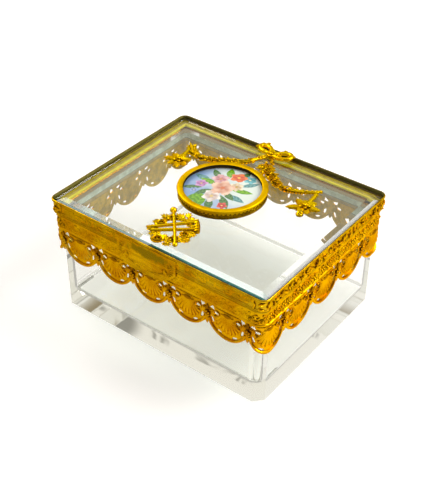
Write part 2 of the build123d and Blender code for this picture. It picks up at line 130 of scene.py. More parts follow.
def use_group(tree, group, links):
    made = tree.nodes.new("ShaderNodeGroup")
    made.node_tree = group
    for socket, source in links.items():
        if isinstance(source, bpy.types.NodeSocket):
            tree.links.new(source, made.inputs[socket])
        else:
            made.inputs[socket].default_value = source
    return made.outputs


def make_gilt_tone():
    """Old gilding: patches worn pale, a deeper tone between them, and the recesses darkened by dirt and by painted
    shade from ambient occlusion.
    """
    tree, ins, outs = new_group(
        "gilt_tone",
        [
            ("Bright", "Color", (0.9, 0.52, 0.03, 1)),
            ("Deep", "Color", (0.7, 0.33, 0.01, 1)),
            ("Recess", "Color", (0.16, 0.06, 0.004, 1)),
            ("DirtAndShade", "Float", 1.0),
            ("Streaks", "Float", 0.0),
        ],
        [("Color", "Color"), ("Roughness", "Float"), ("Height", "Float")],
    )
    place = node(tree, "TexCoord").outputs["Object"]
    patches = spread(tree, noise(tree, place, 110, 4, 0.6), 0.36, 0.64)
    grain = noise(tree, place, 1500, 3, 0.6)
    # painted shade: ambient occlusion darkens the recesses towards the Recess colour, together with their dirt
    hollow = node(tree, "AmbientOcclusion", {"Distance": 0.0013}, samples=8).outputs["AO"]
    dirt_and_shade = figure(tree, "MULTIPLY", spread(tree, hollow, 0.92, 0.42), ins["DirtAndShade"])
    drawn = node(tree, "VectorMath", {0: place, 1: (70, 70, 1300)}, operation="MULTIPLY").outputs[0]
    lines = figure(tree, "MULTIPLY", spread(tree, noise(tree, drawn, 1.0, 3, 0.65), 0.42, 0.66), ins["Streaks"])
    tone = blend_colour(tree, patches, ins["Deep"], ins["Bright"])
    tone = blend_colour(tree, lines, tone, ins["Recess"])
    tone = blend_colour(tree, dirt_and_shade, tone, ins["Recess"])
    rough = spread(tree, grain, 0.3, 0.7, 0.2, 0.34)
    rough = figure(tree, "ADD", rough, figure(tree, "MULTIPLY", dirt_and_shade, 0.25))
    tree.links.new(tone, outs["Color"])
    tree.links.new(rough, outs["Roughness"])
    tree.links.new(grain, outs["Height"])
    return tree


def make_inward():
    """1 on faces that look towards a middle line, such as the back of the stamped strip."""
    tree, ins, outs = new_group(
        "faces_inward",
        [("Middle", "Vector", (0, 0, 0)), ("From", "Float", -0.002), ("To", "Float", -0.006)],
        [("Mask", "Float")],
    )
    at = node(tree, "TexCoord")
    flat = node(tree, "VectorMath", {0: at.outputs["Object"], 1: ins["Middle"]}, operation="SUBTRACT")
    flat = node(tree, "VectorMath", {0: flat.outputs[0], 1: (1, 1, 0)}, operation="MULTIPLY")
    facing = node(tree, "VectorMath", {0: flat.outputs[0], 1: at.outputs["Normal"]}, operation="DOT_PRODUCT")
    tree.links.new(spread(tree, facing.outputs["Value"], ins["From"], ins["To"]), outs["Mask"])
    return tree


gilt_tone = make_gilt_tone()
faces_inward = make_inward()


def new_material(name):
    material = bpy.data.materials.new(name)
    material.use_nodes = True
    tree = material.node_tree
    tree.nodes.clear()
    return material, tree, tree.nodes.new("ShaderNodeOutputMaterial").inputs


def gilt(name, bright, deep, recess=(0.16, 0.06, 0.004, 1), inward=None, middle=(0, 0, 0), turned_in=(-0.002, -0.006),
         matt=0.0, streaks=0.0, hollows=(), bump=0.12, rougher=0.0):
    """Gilt brass, its recesses darkened towards the recess colour by dirt and painted shade. Faces that look inward may
    have another colour, and be matt: painted shade on the lid frame and the ring, a duller back on the stamped strip.
    Hollows are (middle, half size, colour) of patches of painted shade."""
    material, tree, out = new_material(name)
    tone = use_group(tree, gilt_tone, {"Bright": bright, "Deep": deep, "Recess": recess, "Streaks": streaks})
    colour, rough, metal = tone["Color"], tone["Roughness"], 1.0
    if rougher:
        rough = figure(tree, "ADD", rough, rougher)
    place = node(tree, "TexCoord").outputs["Object"]
    # patches of painted shade
    for centre, half, dark in hollows:
        off = node(tree, "VectorMath", {0: place, 1: centre}, operation="SUBTRACT").outputs[0]
        off = node(tree, "VectorMath", {0: off, 1: half}, operation="DIVIDE").outputs[0]
        away = node(tree, "VectorMath", {0: off}, operation="LENGTH").outputs["Value"]
        away = figure(tree, "ADD", away, spread(tree, noise(tree, place, 300, 3, 0.6), 0.3, 0.7, -0.25, 0.25))
        colour = blend_colour(tree, spread(tree, away, 1.15, 0.5), colour, dark)
    # inward faces: painted shade on the frame and ring, a duller back on the strip
    if inward:
        mask = use_group(tree, faces_inward, {"Middle": middle, "From": turned_in[0], "To": turned_in[1]})["Mask"]
        if matt:
            worn = tuple(0.68 * part for part in inward[:3]) + (1,)
            inward = blend_colour(tree, spread(tree, noise(tree, place, 230, 4, 0.7), 0.36, 0.62), worn, inward)
        colour = blend_colour(tree, mask, colour, inward)
        rough = figure(tree, "ADD", rough, figure(tree, "MULTIPLY", mask, 0.2))
        if matt:
            metal = figure(tree, "SUBTRACT", 1.0, figure(tree, "MULTIPLY", mask, matt))
    grain = node(tree, "Bump", {"Strength": bump, "Distance": 0.0002, "Height": tone["Height"]})
    shader = node(
        tree, "BsdfPrincipled",
        {
            "Base Color": colour, "Metallic": metal, "Roughness": rough,
            "Specular Tint": (1.0, 0.78, 0.3, 1), "Normal": grain.outputs[0],
        },
    )
    tree.links.new(shader.outputs[0], out["Surface"])
    return material


def glass(name, tint, depth_colour, density, ripple, depth_limit, glow_colours, painted_lines=(), painted_front_bands=()):
    """Clear glass with a faint waviness, that lets light through to what is under it.

    Rays turned back in it past the depth limit meet a painted glow instead: soft swirls between
    two pale colours in the foot, the fourth colour above it and, near the brass, the third. Dark lines
    along the foot of the hollow are painted from (low, high, colour) entries, standing in for its edges
    seen through the glass. Bands along the front edge are painted from (depth, colour) entries, the widest first."""
    material, tree, out = new_material(name)
    place = node(tree, "TexCoord").outputs["Object"]
    waves = noise(tree, place, 45, 2, 0.4)
    bump = node(tree, "Bump", {"Strength": ripple, "Distance": 0.001, "Height": waves})
    smears = spread(tree, noise(tree, place, 160, 4, 0.7), 0.5, 0.8, 0.0, 0.035)
    split = node(tree, "SeparateXYZ", {0: place}).outputs
    level = split[2]
    colour = tint
    # painted dark lines along the foot of the hollow
    if painted_lines:
        inner_x = figure(tree, "LESS_THAN", figure(tree, "ABSOLUTE", split[0]), CRYSTAL[0] / 2 * MM - 0.0046)
        inner_y = figure(tree, "LESS_THAN", figure(tree, "ABSOLUTE", split[1]), CRYSTAL[1] / 2 * MM - 0.0046)
        front = figure(tree, "LESS_THAN", split[1], -0.035)
        inner = figure(tree, "MULTIPLY", figure(tree, "MULTIPLY", inner_x, inner_y), front)
    for low, high, line in painted_lines:
        above = figure(tree, "GREATER_THAN", level, low * MM)
        below = figure(tree, "LESS_THAN", level, high * MM)
        mask = figure(tree, "MULTIPLY", figure(tree, "MULTIPLY", above, below), inner)
        colour = blend_colour(tree, mask, colour, line)
    # painted bands along the front edge
    for edge, shade in painted_front_bands:
        colour = blend_colour(tree, spread(tree, split[1], edge + 0.0001, edge - 0.0001), colour, shade)
    shader = node(
        tree, "BsdfPrincipled",
        {
            "Base Color": colour, "Metallic": 0.0, "Roughness": smears, "IOR": 1.52,
            "Transmission Weight": 1.0, "Specular IOR Level": 0.3, "Normal": bump.outputs[0],
        },
    )
    clear = node(tree, "BsdfTransparent", {"Color": (0.94, 0.96, 0.95, 1)})
    ray = node(tree, "LightPath").outputs
    # painted glow for rays past the depth limit, in swirls of pale colours
    bent = node(tree, "TexNoise", {"Vector": place, "Scale": 26, "Detail": 3, "Roughness": 0.55, "Distortion": 1.6})
    swirl = spread(tree, bent.outputs["Fac"], 0.34, 0.48)
    swirl = figure(tree, "MAXIMUM", swirl, figure(tree, "LESS_THAN", level, 0.0008))
    swirl = figure(tree, "MULTIPLY", swirl, spread(tree, split[0], -0.063, -0.05))
    pale = blend_colour(tree, swirl, glow_colours[0], glow_colours[1])
    pale = blend_colour(tree, spread(tree, level, 0.0112, 0.0118), pale, glow_colours[3])
    dull = blend_colour(tree, spread(tree, level, 0.02, 0.036), pale, glow_colours[2])
    painted_glow = node(tree, "Emission", {"Color": dull, "Strength": 1.0})
    long_way = figure(tree, "GREATER_THAN", ray["Ray Depth"], depth_limit)
    seen = node(tree, "MixShader", {0: long_way, 1: shader.outputs[0], 2: painted_glow.outputs[0]})
    unseen = figure(tree, "MAXIMUM", ray["Is Shadow Ray"], ray["Is Diffuse Ray"])
    both = node(tree, "MixShader", {0: unseen, 1: seen.outputs[0], 2: clear.outputs[0]})
    depth = node(tree, "VolumeAbsorption", {"Color": depth_colour, "Density": density})
    tree.links.new(both.outputs[0], out["Surface"])
    tree.links.new(depth.outputs[0], out["Volume"])
    return material


GOLD = ((0.94, 0.5, 0.003, 1), (0.74, 0.31, 0.001, 1))
# dark tarnish colour, also taken for the painted shade in the recesses
TARNISH_AND_SHADE = (0.2, 0.08, 0.001, 1)
gilt_bright = gilt("gilt_ornament", (1.0, 0.66, 0.004, 1), (0.92, 0.5, 0.002, 1), (0.1, 0.035, 0.001, 1))
gilt_band = gilt("gilt_band", *GOLD, TARNISH_AND_SHADE, streaks=0.2)
gilt_strip = gilt(
    "gilt_strip", (0.92, 0.45, 0.003, 1), (0.68, 0.27, 0.001, 1), (0.2, 0.06, 0.001, 1),
    inward=(0.9, 0.63, 0.045, 1), matt=0.35,
)
# a darker copy of the gilt, for painted shade
gilt_shadowed = gilt("gilt_shadowed", (0.42, 0.17, 0.003, 1), (0.26, 0.09, 0.002, 1), (0.08, 0.025, 0.001, 1))
# its inward colour paints the rim's inner faces near black: painted shade
gilt_frame = gilt(
    "gilt_frame", (0.84, 0.5, 0.009, 1), (0.62, 0.3, 0.004, 1), TARNISH_AND_SHADE, inward=(0.1, 0.085, 0.02, 1), streaks=0.55,
)


def make_ledge():
    """The ledge under the glass: darker and lighter bands of painted light and shade with one painted highlight line,
    and only its inner edge is seen in front and on the right, painted there as a dark green glass edge with a pale line
    in front and a pale painted reflection on the right."""
    material, tree, out = new_material("gilt_ledge")
    place = node(tree, "TexCoord").outputs["Object"]
    split = node(tree, "SeparateXYZ", {0: place}).outputs
    from_side = figure(tree, "SUBTRACT", LID_FACE[0] * MM, figure(tree, "ABSOLUTE", split[0]))
    from_end = figure(tree, "SUBTRACT", LID_FACE[1] * MM, figure(tree, "ABSOLUTE", split[1]))
    inward = figure(tree, "MINIMUM", from_side, from_end)
    mottle = spread(tree, noise(tree, place, 260, 4, 0.65), 0.32, 0.7)
    colour = blend_colour(tree, mottle, (0.24, 0.16, 0.006, 1), (0.5, 0.36, 0.012, 1))
    # bands of painted light and shade; the bright yellow ones are a painted highlight line
    steps = (
        (2.2, (0.6, 0.42, 0.004, 1), (0.85, 0.62, 0.006, 1)), (3.7, (0.3, 0.2, 0.004, 1), (0.5, 0.35, 0.006, 1)),
        (4.1, (0.5, 0.36, 0.004, 1), (0.8, 0.58, 0.01, 1)), (5.15, (0.2, 0.11, 0.002, 1), (0.34, 0.2, 0.002, 1)),
        (5.4, (0.9, 0.68, 0.0, 1), (1.0, 0.85, 0.0, 1)), (6.1, (0.8, 0.62, 0.0, 1), (1.0, 0.85, 0.0, 1)),
    )
    for away, low, high in steps:
        step = blend_colour(tree, mottle, low, high)
        colour = blend_colour(tree, spread(tree, inward, away * MM - 0.00006, away * MM + 0.00006), colour, step)
    is_end = figure(tree, "LESS_THAN", from_end, from_side)
    is_front = figure(tree, "MULTIPLY", is_end, figure(tree, "LESS_THAN", split[1], 0.0))
    is_right = figure(tree, "MULTIPLY", figure(tree, "SUBTRACT", 1.0, is_end), figure(tree, "GREATER_THAN", split[0], 0.0))
    # in front: a painted dark green glass edge and a pale line
    edge = spread(tree, inward, 0.0053, 0.0056)
    line = blend_colour(tree, edge, (0.008, 0.07, 0.055, 1), (0.42, 0.55, 0.54, 1))
    colour = blend_colour(tree, is_front, colour, line)
    # on the right: a painted pale reflection
    colour = blend_colour(tree, is_right, colour, (1.0, 0.93, 0.92, 1))
    shader = node(tree, "BsdfPrincipled", {"Base Color": colour, "Roughness": 0.55, "Specular IOR Level": 0.2})
    tree.links.new(shader.outputs[0], out["Surface"])
    return material


gilt_ledge = make_ledge()
gilt_lift = gilt(
    "gilt_lift", *GOLD, TARNISH_AND_SHADE, streaks=0.4,
    # painted shade darkens the hollow of the scoop
    hollows=(((-0.001, -0.0565, 0.0678), (0.0165, 0.006, 0.003), (0.34, 0.2, 0.004, 1)),),
)
# its inward colour paints the ring's inner wall near black: painted shade
gilt_ring = gilt(
    "gilt_ring", (0.9, 0.54, 0.002, 1), (0.72, 0.4, 0.001, 1), TARNISH_AND_SHADE,
    inward=(0.05, 0.035, 0.02, 1), middle=(0, RING_Y * MM, 0), turned_in=(-0.014, -0.019), rougher=0.2,
)
# a darker copy of the ring's gilt for its outer wall: painted shade
gilt_ring_wall_shaded = gilt("gilt_ring_wall_shaded", (0.4, 0.23, 0.004, 1), (0.22, 0.12, 0.003, 1), (0.03, 0.015, 0.002, 1))
gilt_dull = gilt("gilt_dull", (0.6, 0.36, 0.05, 1), (0.4, 0.22, 0.03, 1))
crystal_glass = glass(
    "crystal_glass", (1, 1, 0.99, 1), (0.89, 0.88, 0.8, 1), 9.0, 0.05, 4.5,
    # painted glow colours
    ((0.3, 0.29, 0.25, 1), (0.92, 0.9, 0.84, 1), (0.3, 0.24, 0.13, 1), (0.84, 0.83, 0.76, 1)),
    # painted dark lines along the foot of the hollow
    ((12.02, 12.6, (0.22, 0.22, 0.18, 1)), (15.2, 15.5, (0.5, 0.5, 0.44, 1))),
)
plate_glass = glass(
    "plate_glass", (1, 1, 1, 1), (0.3, 0.82, 0.66, 1), 6.0, 0.012, 5.5,
    # painted glow colours, gold as the brass the plate mirrors
    ((0.3, 0.2, 0.01, 1), (0.62, 0.44, 0.03, 1), (0.46, 0.33, 0.02, 1), (0.46, 0.33, 0.02, 1)),
    # painted pale line and dark green edge along the front
    painted_front_bands=((-0.0506, (0.7, 0.86, 0.88, 1)), (-0.0532, (0.004, 0.06, 0.05, 1))),
)


def make_cement():
    """The bedding between collar and crystal: pale above, brass-coloured below."""
    material, tree, out = new_material("cement_bed")
    place = node(tree, "TexCoord").outputs["Object"]
    mottle = spread(tree, noise(tree, place, 240, 4, 0.65), 0.35, 0.68)
    level = node(tree, "SeparateXYZ", {0: place}).outputs[2]
    colour = blend_colour(tree, mottle, (0.6, 0.64, 0.52, 1), (0.86, 0.92, 0.8, 1))
    brassy = blend_colour(tree, mottle, (0.46, 0.32, 0.1, 1), (0.66, 0.46, 0.16, 1))
    colour = blend_colour(tree, spread(tree, level, 0.0576, 0.0571), colour, brassy)
    seam = figure(tree, "COMPARE", level, 0.0576, 0.00016)
    colour = blend_colour(tree, seam, colour, (0.16, 0.11, 0.05, 1))
    bump = node(tree, "Bump", {"Strength": 0.3, "Distance": 0.0002, "Height": mottle})
    shader = node(tree, "BsdfPrincipled", {"Base Color": colour, "Roughness": 0.8, "Normal": bump.outputs[0]})
    tree.links.new(shader.outputs[0], out["Surface"])
    return material


cement = make_cement()


# ============================================================ mesh building
def sheet_to_box(run, up, out, face):
    """A point of a flat strip, bent round a face of the box from the middle of its front."""
    half_x, half_y, radius = face
    x, y = half_x - radius, half_y - radius
    turn = pi / 2 * radius
    run %= 4 * (x + y) + 4 * turn
    place, heading = Vector((0, -y, 0)), 0.0
    for straight in (x, 2 * y, 2 * x, 2 * y, x):
        ahead = min(run, straight)
        place += ahead * Vector((cos(heading), sin(heading), 0))
        bent = min(run - ahead, turn)
        heading += bent / radius
        run -= ahead + bent
        if run <= 0:
            break
    return place + (radius + out) * Vector((sin(heading), -cos(heading), 0)) + Vector((0, 0, up))


def way_round(face):
    """The length of a face's line round the box."""
    half_x, half_y, radius = face
    return 4 * (half_x + half_y - 2 * radius) + 2 * pi * radius


def bend_round(bm, face, front=1.0, level=0.0):
    """Bends a flat strip round the box. Its relief above a level is worn to a share
    along the front."""
    half_front = face[0] - face[2]
    length = way_round(face)
    for vert in bm.verts:
        run = (vert.co.x + length / 2) % length - length / 2
        if vert.co.z > level:
            share = front + (1 - front) * min(max((abs(run) - half_front) / 6 + 1, 0), 1)
            vert.co.z = level + (vert.co.z - level) * share
        vert.co = sheet_to_box(*vert.co, face)


def finish(bm, name, body, material, replaced=(), sharp=35):
    """Turns a finished bmesh into a piece that rides on its body."""
    bmesh.ops.scale(bm, vec=(MM, MM, MM), verts=bm.verts)
    mesh = bpy.data.meshes.new(name)
    bm.to_mesh(mesh)
    bm.free()
    mesh.shade_smooth()
    mesh.set_sharp_from_angle(angle=radians(sharp))
    mesh.materials.append(material)
    piece = bpy.data.objects.new(name, mesh)
    bpy.context.scene.collection.objects.link(piece)
    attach(piece, body)
    if replaced:
        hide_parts(*replaced)
    return piece


def motif(bm):
    """A small shape that is kept for stamping."""
    mesh = bpy.data.meshes.new("motif")
    bm.to_mesh(mesh)
    bm.free()
    return mesh


def stamp(bm, shape, *places):
    """Adds a copy of a small shape at each matrix."""
    for place in places:
        copy = shape.copy()
        copy.transform(place)
        if place.determinant() < 0:
            copy.flip_normals()
        bm.from_mesh(copy)
        bpy.data.meshes.remove(copy)


def at(x, y, z=0.0, turn=0.0, size=1.0, tip=0.0, roll=0.0):
    """The matrix of a place on a flat sheet, with its turn in degrees and its size."""
    return (
        Matrix.Translation((x, y, z))
        @ Matrix.Rotation(radians(turn), 4, "Z")
        @ Matrix.Rotation(radians(-tip), 4, "Y")
        @ Matrix.Rotation(radians(roll), 4, "X")
        @ Matrix.Diagonal((size, size, size, 1))
    )


def mirrored(matrix):
    """The same place on the other side of the sheet's x = 0."""
    return Matrix.Diagonal((-1, 1, 1, 1)) @ matrix


def lobe(length, width, height, widest=0.5, point=0.75, vein=0.0, rise=0.0, sway=0.0, sides=8, rings=6):
    """A leaf, petal or flute: its root at the origin, its tip along +X, its top along +Z."""
    bm = bmesh.new()
    bmesh.ops.create_uvsphere(
        bm, u_segments=sides, v_segments=rings, radius=1.0, matrix=Matrix.Rotation(pi / 2, 4, "Y")
    )
    power = log(0.5) / log(widest)
    for vert in bm.verts:
        along = (vert.co.x + 1) / 2
        around = hypot(vert.co.y, vert.co.z)
        swell = max(sin(pi * min(max(along, 0), 1) ** power), 0) ** point
        side, top = (vert.co.y / around, vert.co.z / around) if around > 1e-5 else (0, 0)
        groove = vein * height * swell if top > 0.9 else 0
        depth = height if top > 0 else height * 0.35
        vert.co.x = along * length
        vert.co.y = side * swell * width / 2 + sway * along * along
        vert.co.z = top * swell * depth - groove + rise * along * along
    return motif(bm)


def bead(radius, height=1.0, sides=8, rings=6):
    """A small ball, pressed flat by its height."""
    bm = bmesh.new()
    bmesh.ops.create_uvsphere(bm, u_segments=sides, v_segments=rings, radius=radius)
    bmesh.ops.scale(bm, vec=(1, 1, height), verts=bm.verts)
    return motif(bm)


def arc_bar(radius, start, end, width, height, steps, sides=8):
    """A raised bar bent along an arc about the origin, from one direction to another."""
    bm = bmesh.new()
    bmesh.ops.create_circle(bm, segments=sides, radius=0.5, matrix=Matrix.Rotation(pi / 2, 4, "X"))
    bmesh.ops.scale(bm, vec=(width, 1, 2 * height), verts=bm.verts)
    bmesh.ops.translate(bm, vec=(radius, 0, 0), verts=bm.verts)
    bmesh.ops.rotate(bm, cent=(0, 0, 0), matrix=Matrix.Rotation(radians(start), 3, "Z"), verts=bm.verts)
    bmesh.ops.spin(
        bm, geom=bm.verts[:] + bm.edges[:], cent=(0, 0, 0), axis=(0, 0, 1),
        angle=radians(end - start), steps=steps, use_merge=False,
    )
    bmesh.ops.holes_fill(bm, edges=bm.edges)
    bmesh.ops.recalc_face_normals(bm, faces=bm.faces)
    return motif(bm)


def stem(points, radius, taper=1.0, flat=1.0, sides=2, closed=False):
    """A round stem along a smooth line, its end thinned by the taper."""
    curve = bpy.data.curves.new("stem", "CURVE")
    curve.dimensions = "3D"
    curve.bevel_depth = radius
    curve.bevel_resolution = sides
    curve.resolution_u = 4
    curve.use_fill_caps = True
    line = curve.splines.new("NURBS")
    line.points.add(len(points) - 1)
    for index, (point, place) in enumerate(zip(line.points, points)):
        point.co = (*place, 1)
        point.radius = 1 + (taper - 1) * index / (len(points) - 1)
    line.order_u = 3
    line.use_endpoint_u = not closed
    line.use_cyclic_u = closed
    holder = bpy.data.objects.new("stem", curve)
    mesh = bpy.data.meshes.new_from_object(holder)
    bpy.data.objects.remove(holder)
    if flat != 1.0:
        level = points[0][2]
        mesh.transform(Matrix.Translation((0, 0, level)) @ Matrix.Diagonal((1, 1, flat, 1)) @ Matrix.Translation((0, 0, -level)))
    return mesh


def moulding(bm, profile, face, steps=8):
    """Runs a closed profile of (out, up) points round a face of the box."""
    half_x, half_y, radius = face
    x, y = half_x - radius, half_y - radius
    loop = [bm.verts.new((0, -half_y - out, up)) for out, up in profile]
    edges = [bm.edges.new(pair) for pair in zip(loop, loop[1:] + loop[:1])]
    bm.verts.index_update()
    corners = ((x, -y), (x, y), (-x, y), (-x, -y))
    runs = ((x, 0), (0, 2 * y), (-2 * x, 0), (0, -2 * y), (x, 0))
    for index, (dx, dy) in enumerate(runs):
        made = bmesh.ops.extrude_edge_only(bm, edges=edges)["geom"]
        loop = [part for part in made if isinstance(part, bmesh.types.BMVert)]
        new = set(loop)
        edges = [part for part in made if isinstance(part, bmesh.types.BMEdge) and set(part.verts) <= new]
        bmesh.ops.translate(bm, vec=(dx, dy, 0), verts=loop)
        if index < 4:
            made = bmesh.ops.spin(
                bm, geom=loop + edges, cent=(*corners[index], 0), axis=(0, 0, 1),
                angle=pi / 2, steps=steps, use_merge=False,
            )["geom_last"]
            loop = [part for part in made if isinstance(part, bmesh.types.BMVert)]
            edges = [part for part in made if isinstance(part, bmesh.types.BMEdge)]
    bmesh.ops.remove_doubles(bm, verts=bm.verts, dist=0.01)
    bmesh.ops.recalc_face_normals(bm, faces=bm.faces)


def turned(profile, steps=96):
    """A closed profile of (radius, up) points spun round the medallion's axis."""
    bm = bmesh.new()
    loop = [bm.verts.new((radius, RING_Y, up)) for radius, up in profile]
    edges = [bm.edges.new(pair) for pair in zip(loop, loop[1:] + loop[:1])]
    bmesh.ops.spin(
        bm, geom=loop + edges, cent=(0, RING_Y, 0), axis=(0, 0, 1), angle=2 * pi, steps=steps, use_merge=True
    )
    bmesh.ops.remove_doubles(bm, verts=bm.verts, dist=0.005)
    bmesh.ops.recalc_face_normals(bm, faces=bm.faces)
    return bm


# ============================================================ crystal body
def make_crystal():
    bm = bmesh.new()
    length, width, height = CRYSTAL

    def block(size, low, corner, corner_steps, foot, foot_steps):
        made = bmesh.new()
        bmesh.ops.create_cube(made, size=1.0)
        bmesh.ops.scale(made, vec=size, verts=made.verts)
        bmesh.ops.translate(made, vec=(0, 0, low + size[2] / 2), verts=made.verts)
        upright = [e for e in made.edges if abs(e.verts[0].co.z - e.verts[1].co.z) > 1]
        bmesh.ops.bevel(
            made, geom=upright, offset=corner, offset_type="OFFSET", segments=corner_steps,
            profile=0.5, affect="EDGES", material=-1,
        )
        under = [e for e in made.edges if all(v.co.z < low + 0.01 for v in e.verts)]
        bmesh.ops.bevel(
            made, geom=under, offset=foot, offset_type="OFFSET", segments=foot_steps,
            profile=0.5, affect="EDGES", material=-1,
        )
        lid = [f for f in made.faces if all(v.co.z > low + size[2] - 0.01 for v in f.verts)]
        bmesh.ops.delete(made, geom=lid, context="FACES_ONLY")
        return made

    outer = block((length, width, height), 0, FACET, 1, BASE_BEVEL, 1)
    crisp = [e for e in outer.edges if len(e.link_faces) == 2 and e.calc_face_angle() > radians(20)]
    bmesh.ops.bevel(
        outer, geom=crisp, offset=0.3, offset_type="OFFSET", segments=2, profile=0.5,
        affect="EDGES", material=-1,
    )
    stamp(bm, motif(outer), Matrix.Identity(4))
    inner = block((length - 2 * WALL, width - 2 * WALL, height - FLOOR), FLOOR, 4.0, 8, 2.5, 6)
    stamp(bm, motif(inner), Matrix.Identity(4))
    rim = [e for e in bm.edges if e.is_boundary]
    bmesh.ops.triangle_fill(bm, edges=rim, use_beauty=True, use_dissolve=False)
    bmesh.ops.recalc_face_normals(bm, faces=bm.faces)
    piece = finish(bm, "crystal_cut", "casket", crystal_glass, ("crystal_body",), 60)
    level = piece.modifiers.new("even_faces", "WEIGHTED_NORMAL")
    level.keep_sharp = True
    level.weight = 100
    return piece


make_crystal()

# ============================================================ collar and lid frame
bm = bmesh.new()
moulding(
    bm,
    [
        (-1.2, 55.3), (0.1, 55.3), (0.38, 55.45), (0.5, 55.75), (0.5, 56.05), (0.38, 56.35), (0.1, 56.5),
        (-0.05, 56.62), (-0.08, 56.9), (-0.08, 62.6), (-0.02, 62.9), (0.16, 63.05), (0.24, 63.35),
        (0.24, 63.7), (0.14, 64.02), (-0.1, 64.2), (-3.35, 64.2), (-3.5, 64.05), (-3.5, 63.52), (-1.2, 63.5),
    ],
    COLLAR_FACE,
)
finish(bm, "collar_band", "casket", gilt_band, ("collar_rim",))

bm = bmesh.new()
moulding(
    bm,
    [
        (-3.2, 64.5), (-0.75, 64.5), (-0.56, 64.6), (-0.46, 64.85), (-0.44, 65.2), (-0.5, 65.5), (-0.62, 65.62),
        (-0.6, 65.8), (-0.36, 65.92), (-0.28, 66.15), (-0.36, 66.4), (-0.66, 66.55), (-0.72, 66.9), (-0.72, 70.9),
        (-0.64, 71.3), (-0.4, 71.5), (-0.1, 71.75), (0, 72.1), (0, 72.4), (-0.08, 72.7), (-0.24, 72.92),
        (-0.42, 73.0), (-0.62, 73.0), (-0.85, 72.9), (-1.35, 72.2), (-1.5, 71.9), (-1.5, 67.5), (-3.0, 67.4),
        (-3.0, 66.4), (-3.2, 66.3),
    ],
    LID_FACE,
)
finish(bm, "lid_moulding", "lid", gilt_frame, ("lid_frame",))

bm = bmesh.new()
moulding(
    bm,
    [
        (-1.52, 66.4), (-1.52, 67.38), (-2.1, 67.42), (-2.25, 67.2), (-2.75, 67.2), (-2.9, 67.44), (-3.5, 67.44),
        (-3.65, 67.15), (-4.4, 67.15), (-4.6, 67.44), (-5.5, 67.46), (-6.2, 67.44), (-6.45, 67.25), (-6.5, 67.0),
        (-6.5, 66.5), (-6.4, 66.3), (-3.1, 66.3),
    ],
    LID_FACE,
)
finish(bm, "lid_ledge", "lid", gilt_ledge, ("lid_frame",))

bm = bmesh.new()
moulding(bm, [(-1.27, 55.5), (-1.23, 55.5), (-1.23, 63.3), (-1.27, 63.3)], COLLAR_FACE)
finish(bm, "collar_bedding", "casket", cement)


# ============================================================ relief of the bands
def make_collar_relief():
    """Fans and scrolls in turn, stamped round the collar."""
    flute = lobe(3.5, 1.25, 0.75, widest=0.68, point=0.7)
    scroll = arc_bar(1.35, -60, 200, 0.75, 0.6, 9, 6)
    leaf = lobe(3.0, 1.5, 0.6, widest=0.45, vein=0.4)
    drop = bead(0.7, 0.9)
    unit = bmesh.new()
    for turn in (-64, -32, 0, 32, 64):
        stamp(unit, flute, at(0.55 * sin(radians(turn)), 1.7, 0, 90 - turn, 1.12 - abs(turn) / 250))
    stamp(unit, bead(1.0, 0.9), at(0, 1.4))
    for side in (at(3.3, 1.9, 0, 20), mirrored(at(3.3, 1.9, 0, 20))):
        stamp(unit, scroll, side)
    for turn in (0, 60, 120, 180, 240, 300):
        stamp(unit, leaf, at(5.6, 3.6, 0, turn, 0.75))
    stamp(unit, drop, at(5.6, 3.6, 0.35), at(3.3, 1.9, 0.1), at(-3.3, 1.9, 0.1), at(3.9, 5.3), at(-3.9, 5.3))
    unit = motif(unit)
    bm = bmesh.new()
    count = 42
    step = way_round(COLLAR_FACE) / count
    stamp(bm, unit, *[at(step * (index + 0.5), 56.5, -0.1) for index in range(count)])
    for index in range(5 * count):
        for up in (random.uniform(55.7, 59.4), random.uniform(59.4, 63.5)):
            deep = random.uniform(-0.15, 0.2)
            stamp(bm, leaf, at(step * index / 5, up, deep, random.uniform(0, 360), random.uniform(0.6, 0.9)))
    bend_round(bm, COLLAR_FACE, 0.4, -0.1)
    return finish(bm, "collar_relief", "casket", gilt_band)


def make_lid_relief():
    """Crowded small leaves and berries round the lid's cove, all but worn away in front."""
    leaf = lobe(3.4, 1.5, 0.85, widest=0.42, vein=0.4, sway=0.5)
    small = lobe(2.2, 1.0, 0.75, widest=0.45, vein=0.3)
    berry = bead(0.55, 1.0, 6, 5)
    bm = bmesh.new()
    count = 112
    step = way_round(LID_FACE) / count
    for index in range(count):
        run = step * (index + random.uniform(-0.3, 0.3))
        for up, shape in ((65.6, small), (67.0, leaf), (68.9, leaf), (70.3, small), (71.1, small)):
            deep = random.uniform(-0.7, -0.35) - 0.25 * (up > 70)
            size = random.uniform(0.9, 1.25) - 0.35 * (up > 70)
            place = at(run + random.uniform(-1.4, 1.4), up + random.uniform(-0.4, 0.4), deep, random.uniform(-30, 110), size)
            stamp(bm, shape, place)
        stamp(bm, berry, at(run + random.uniform(-1, 1), random.uniform(67.2, 70.4), -0.2))
    bend_round(bm, LID_FACE, 0.22, -0.72)
    return finish(bm, "lid_relief", "lid", gilt_band)


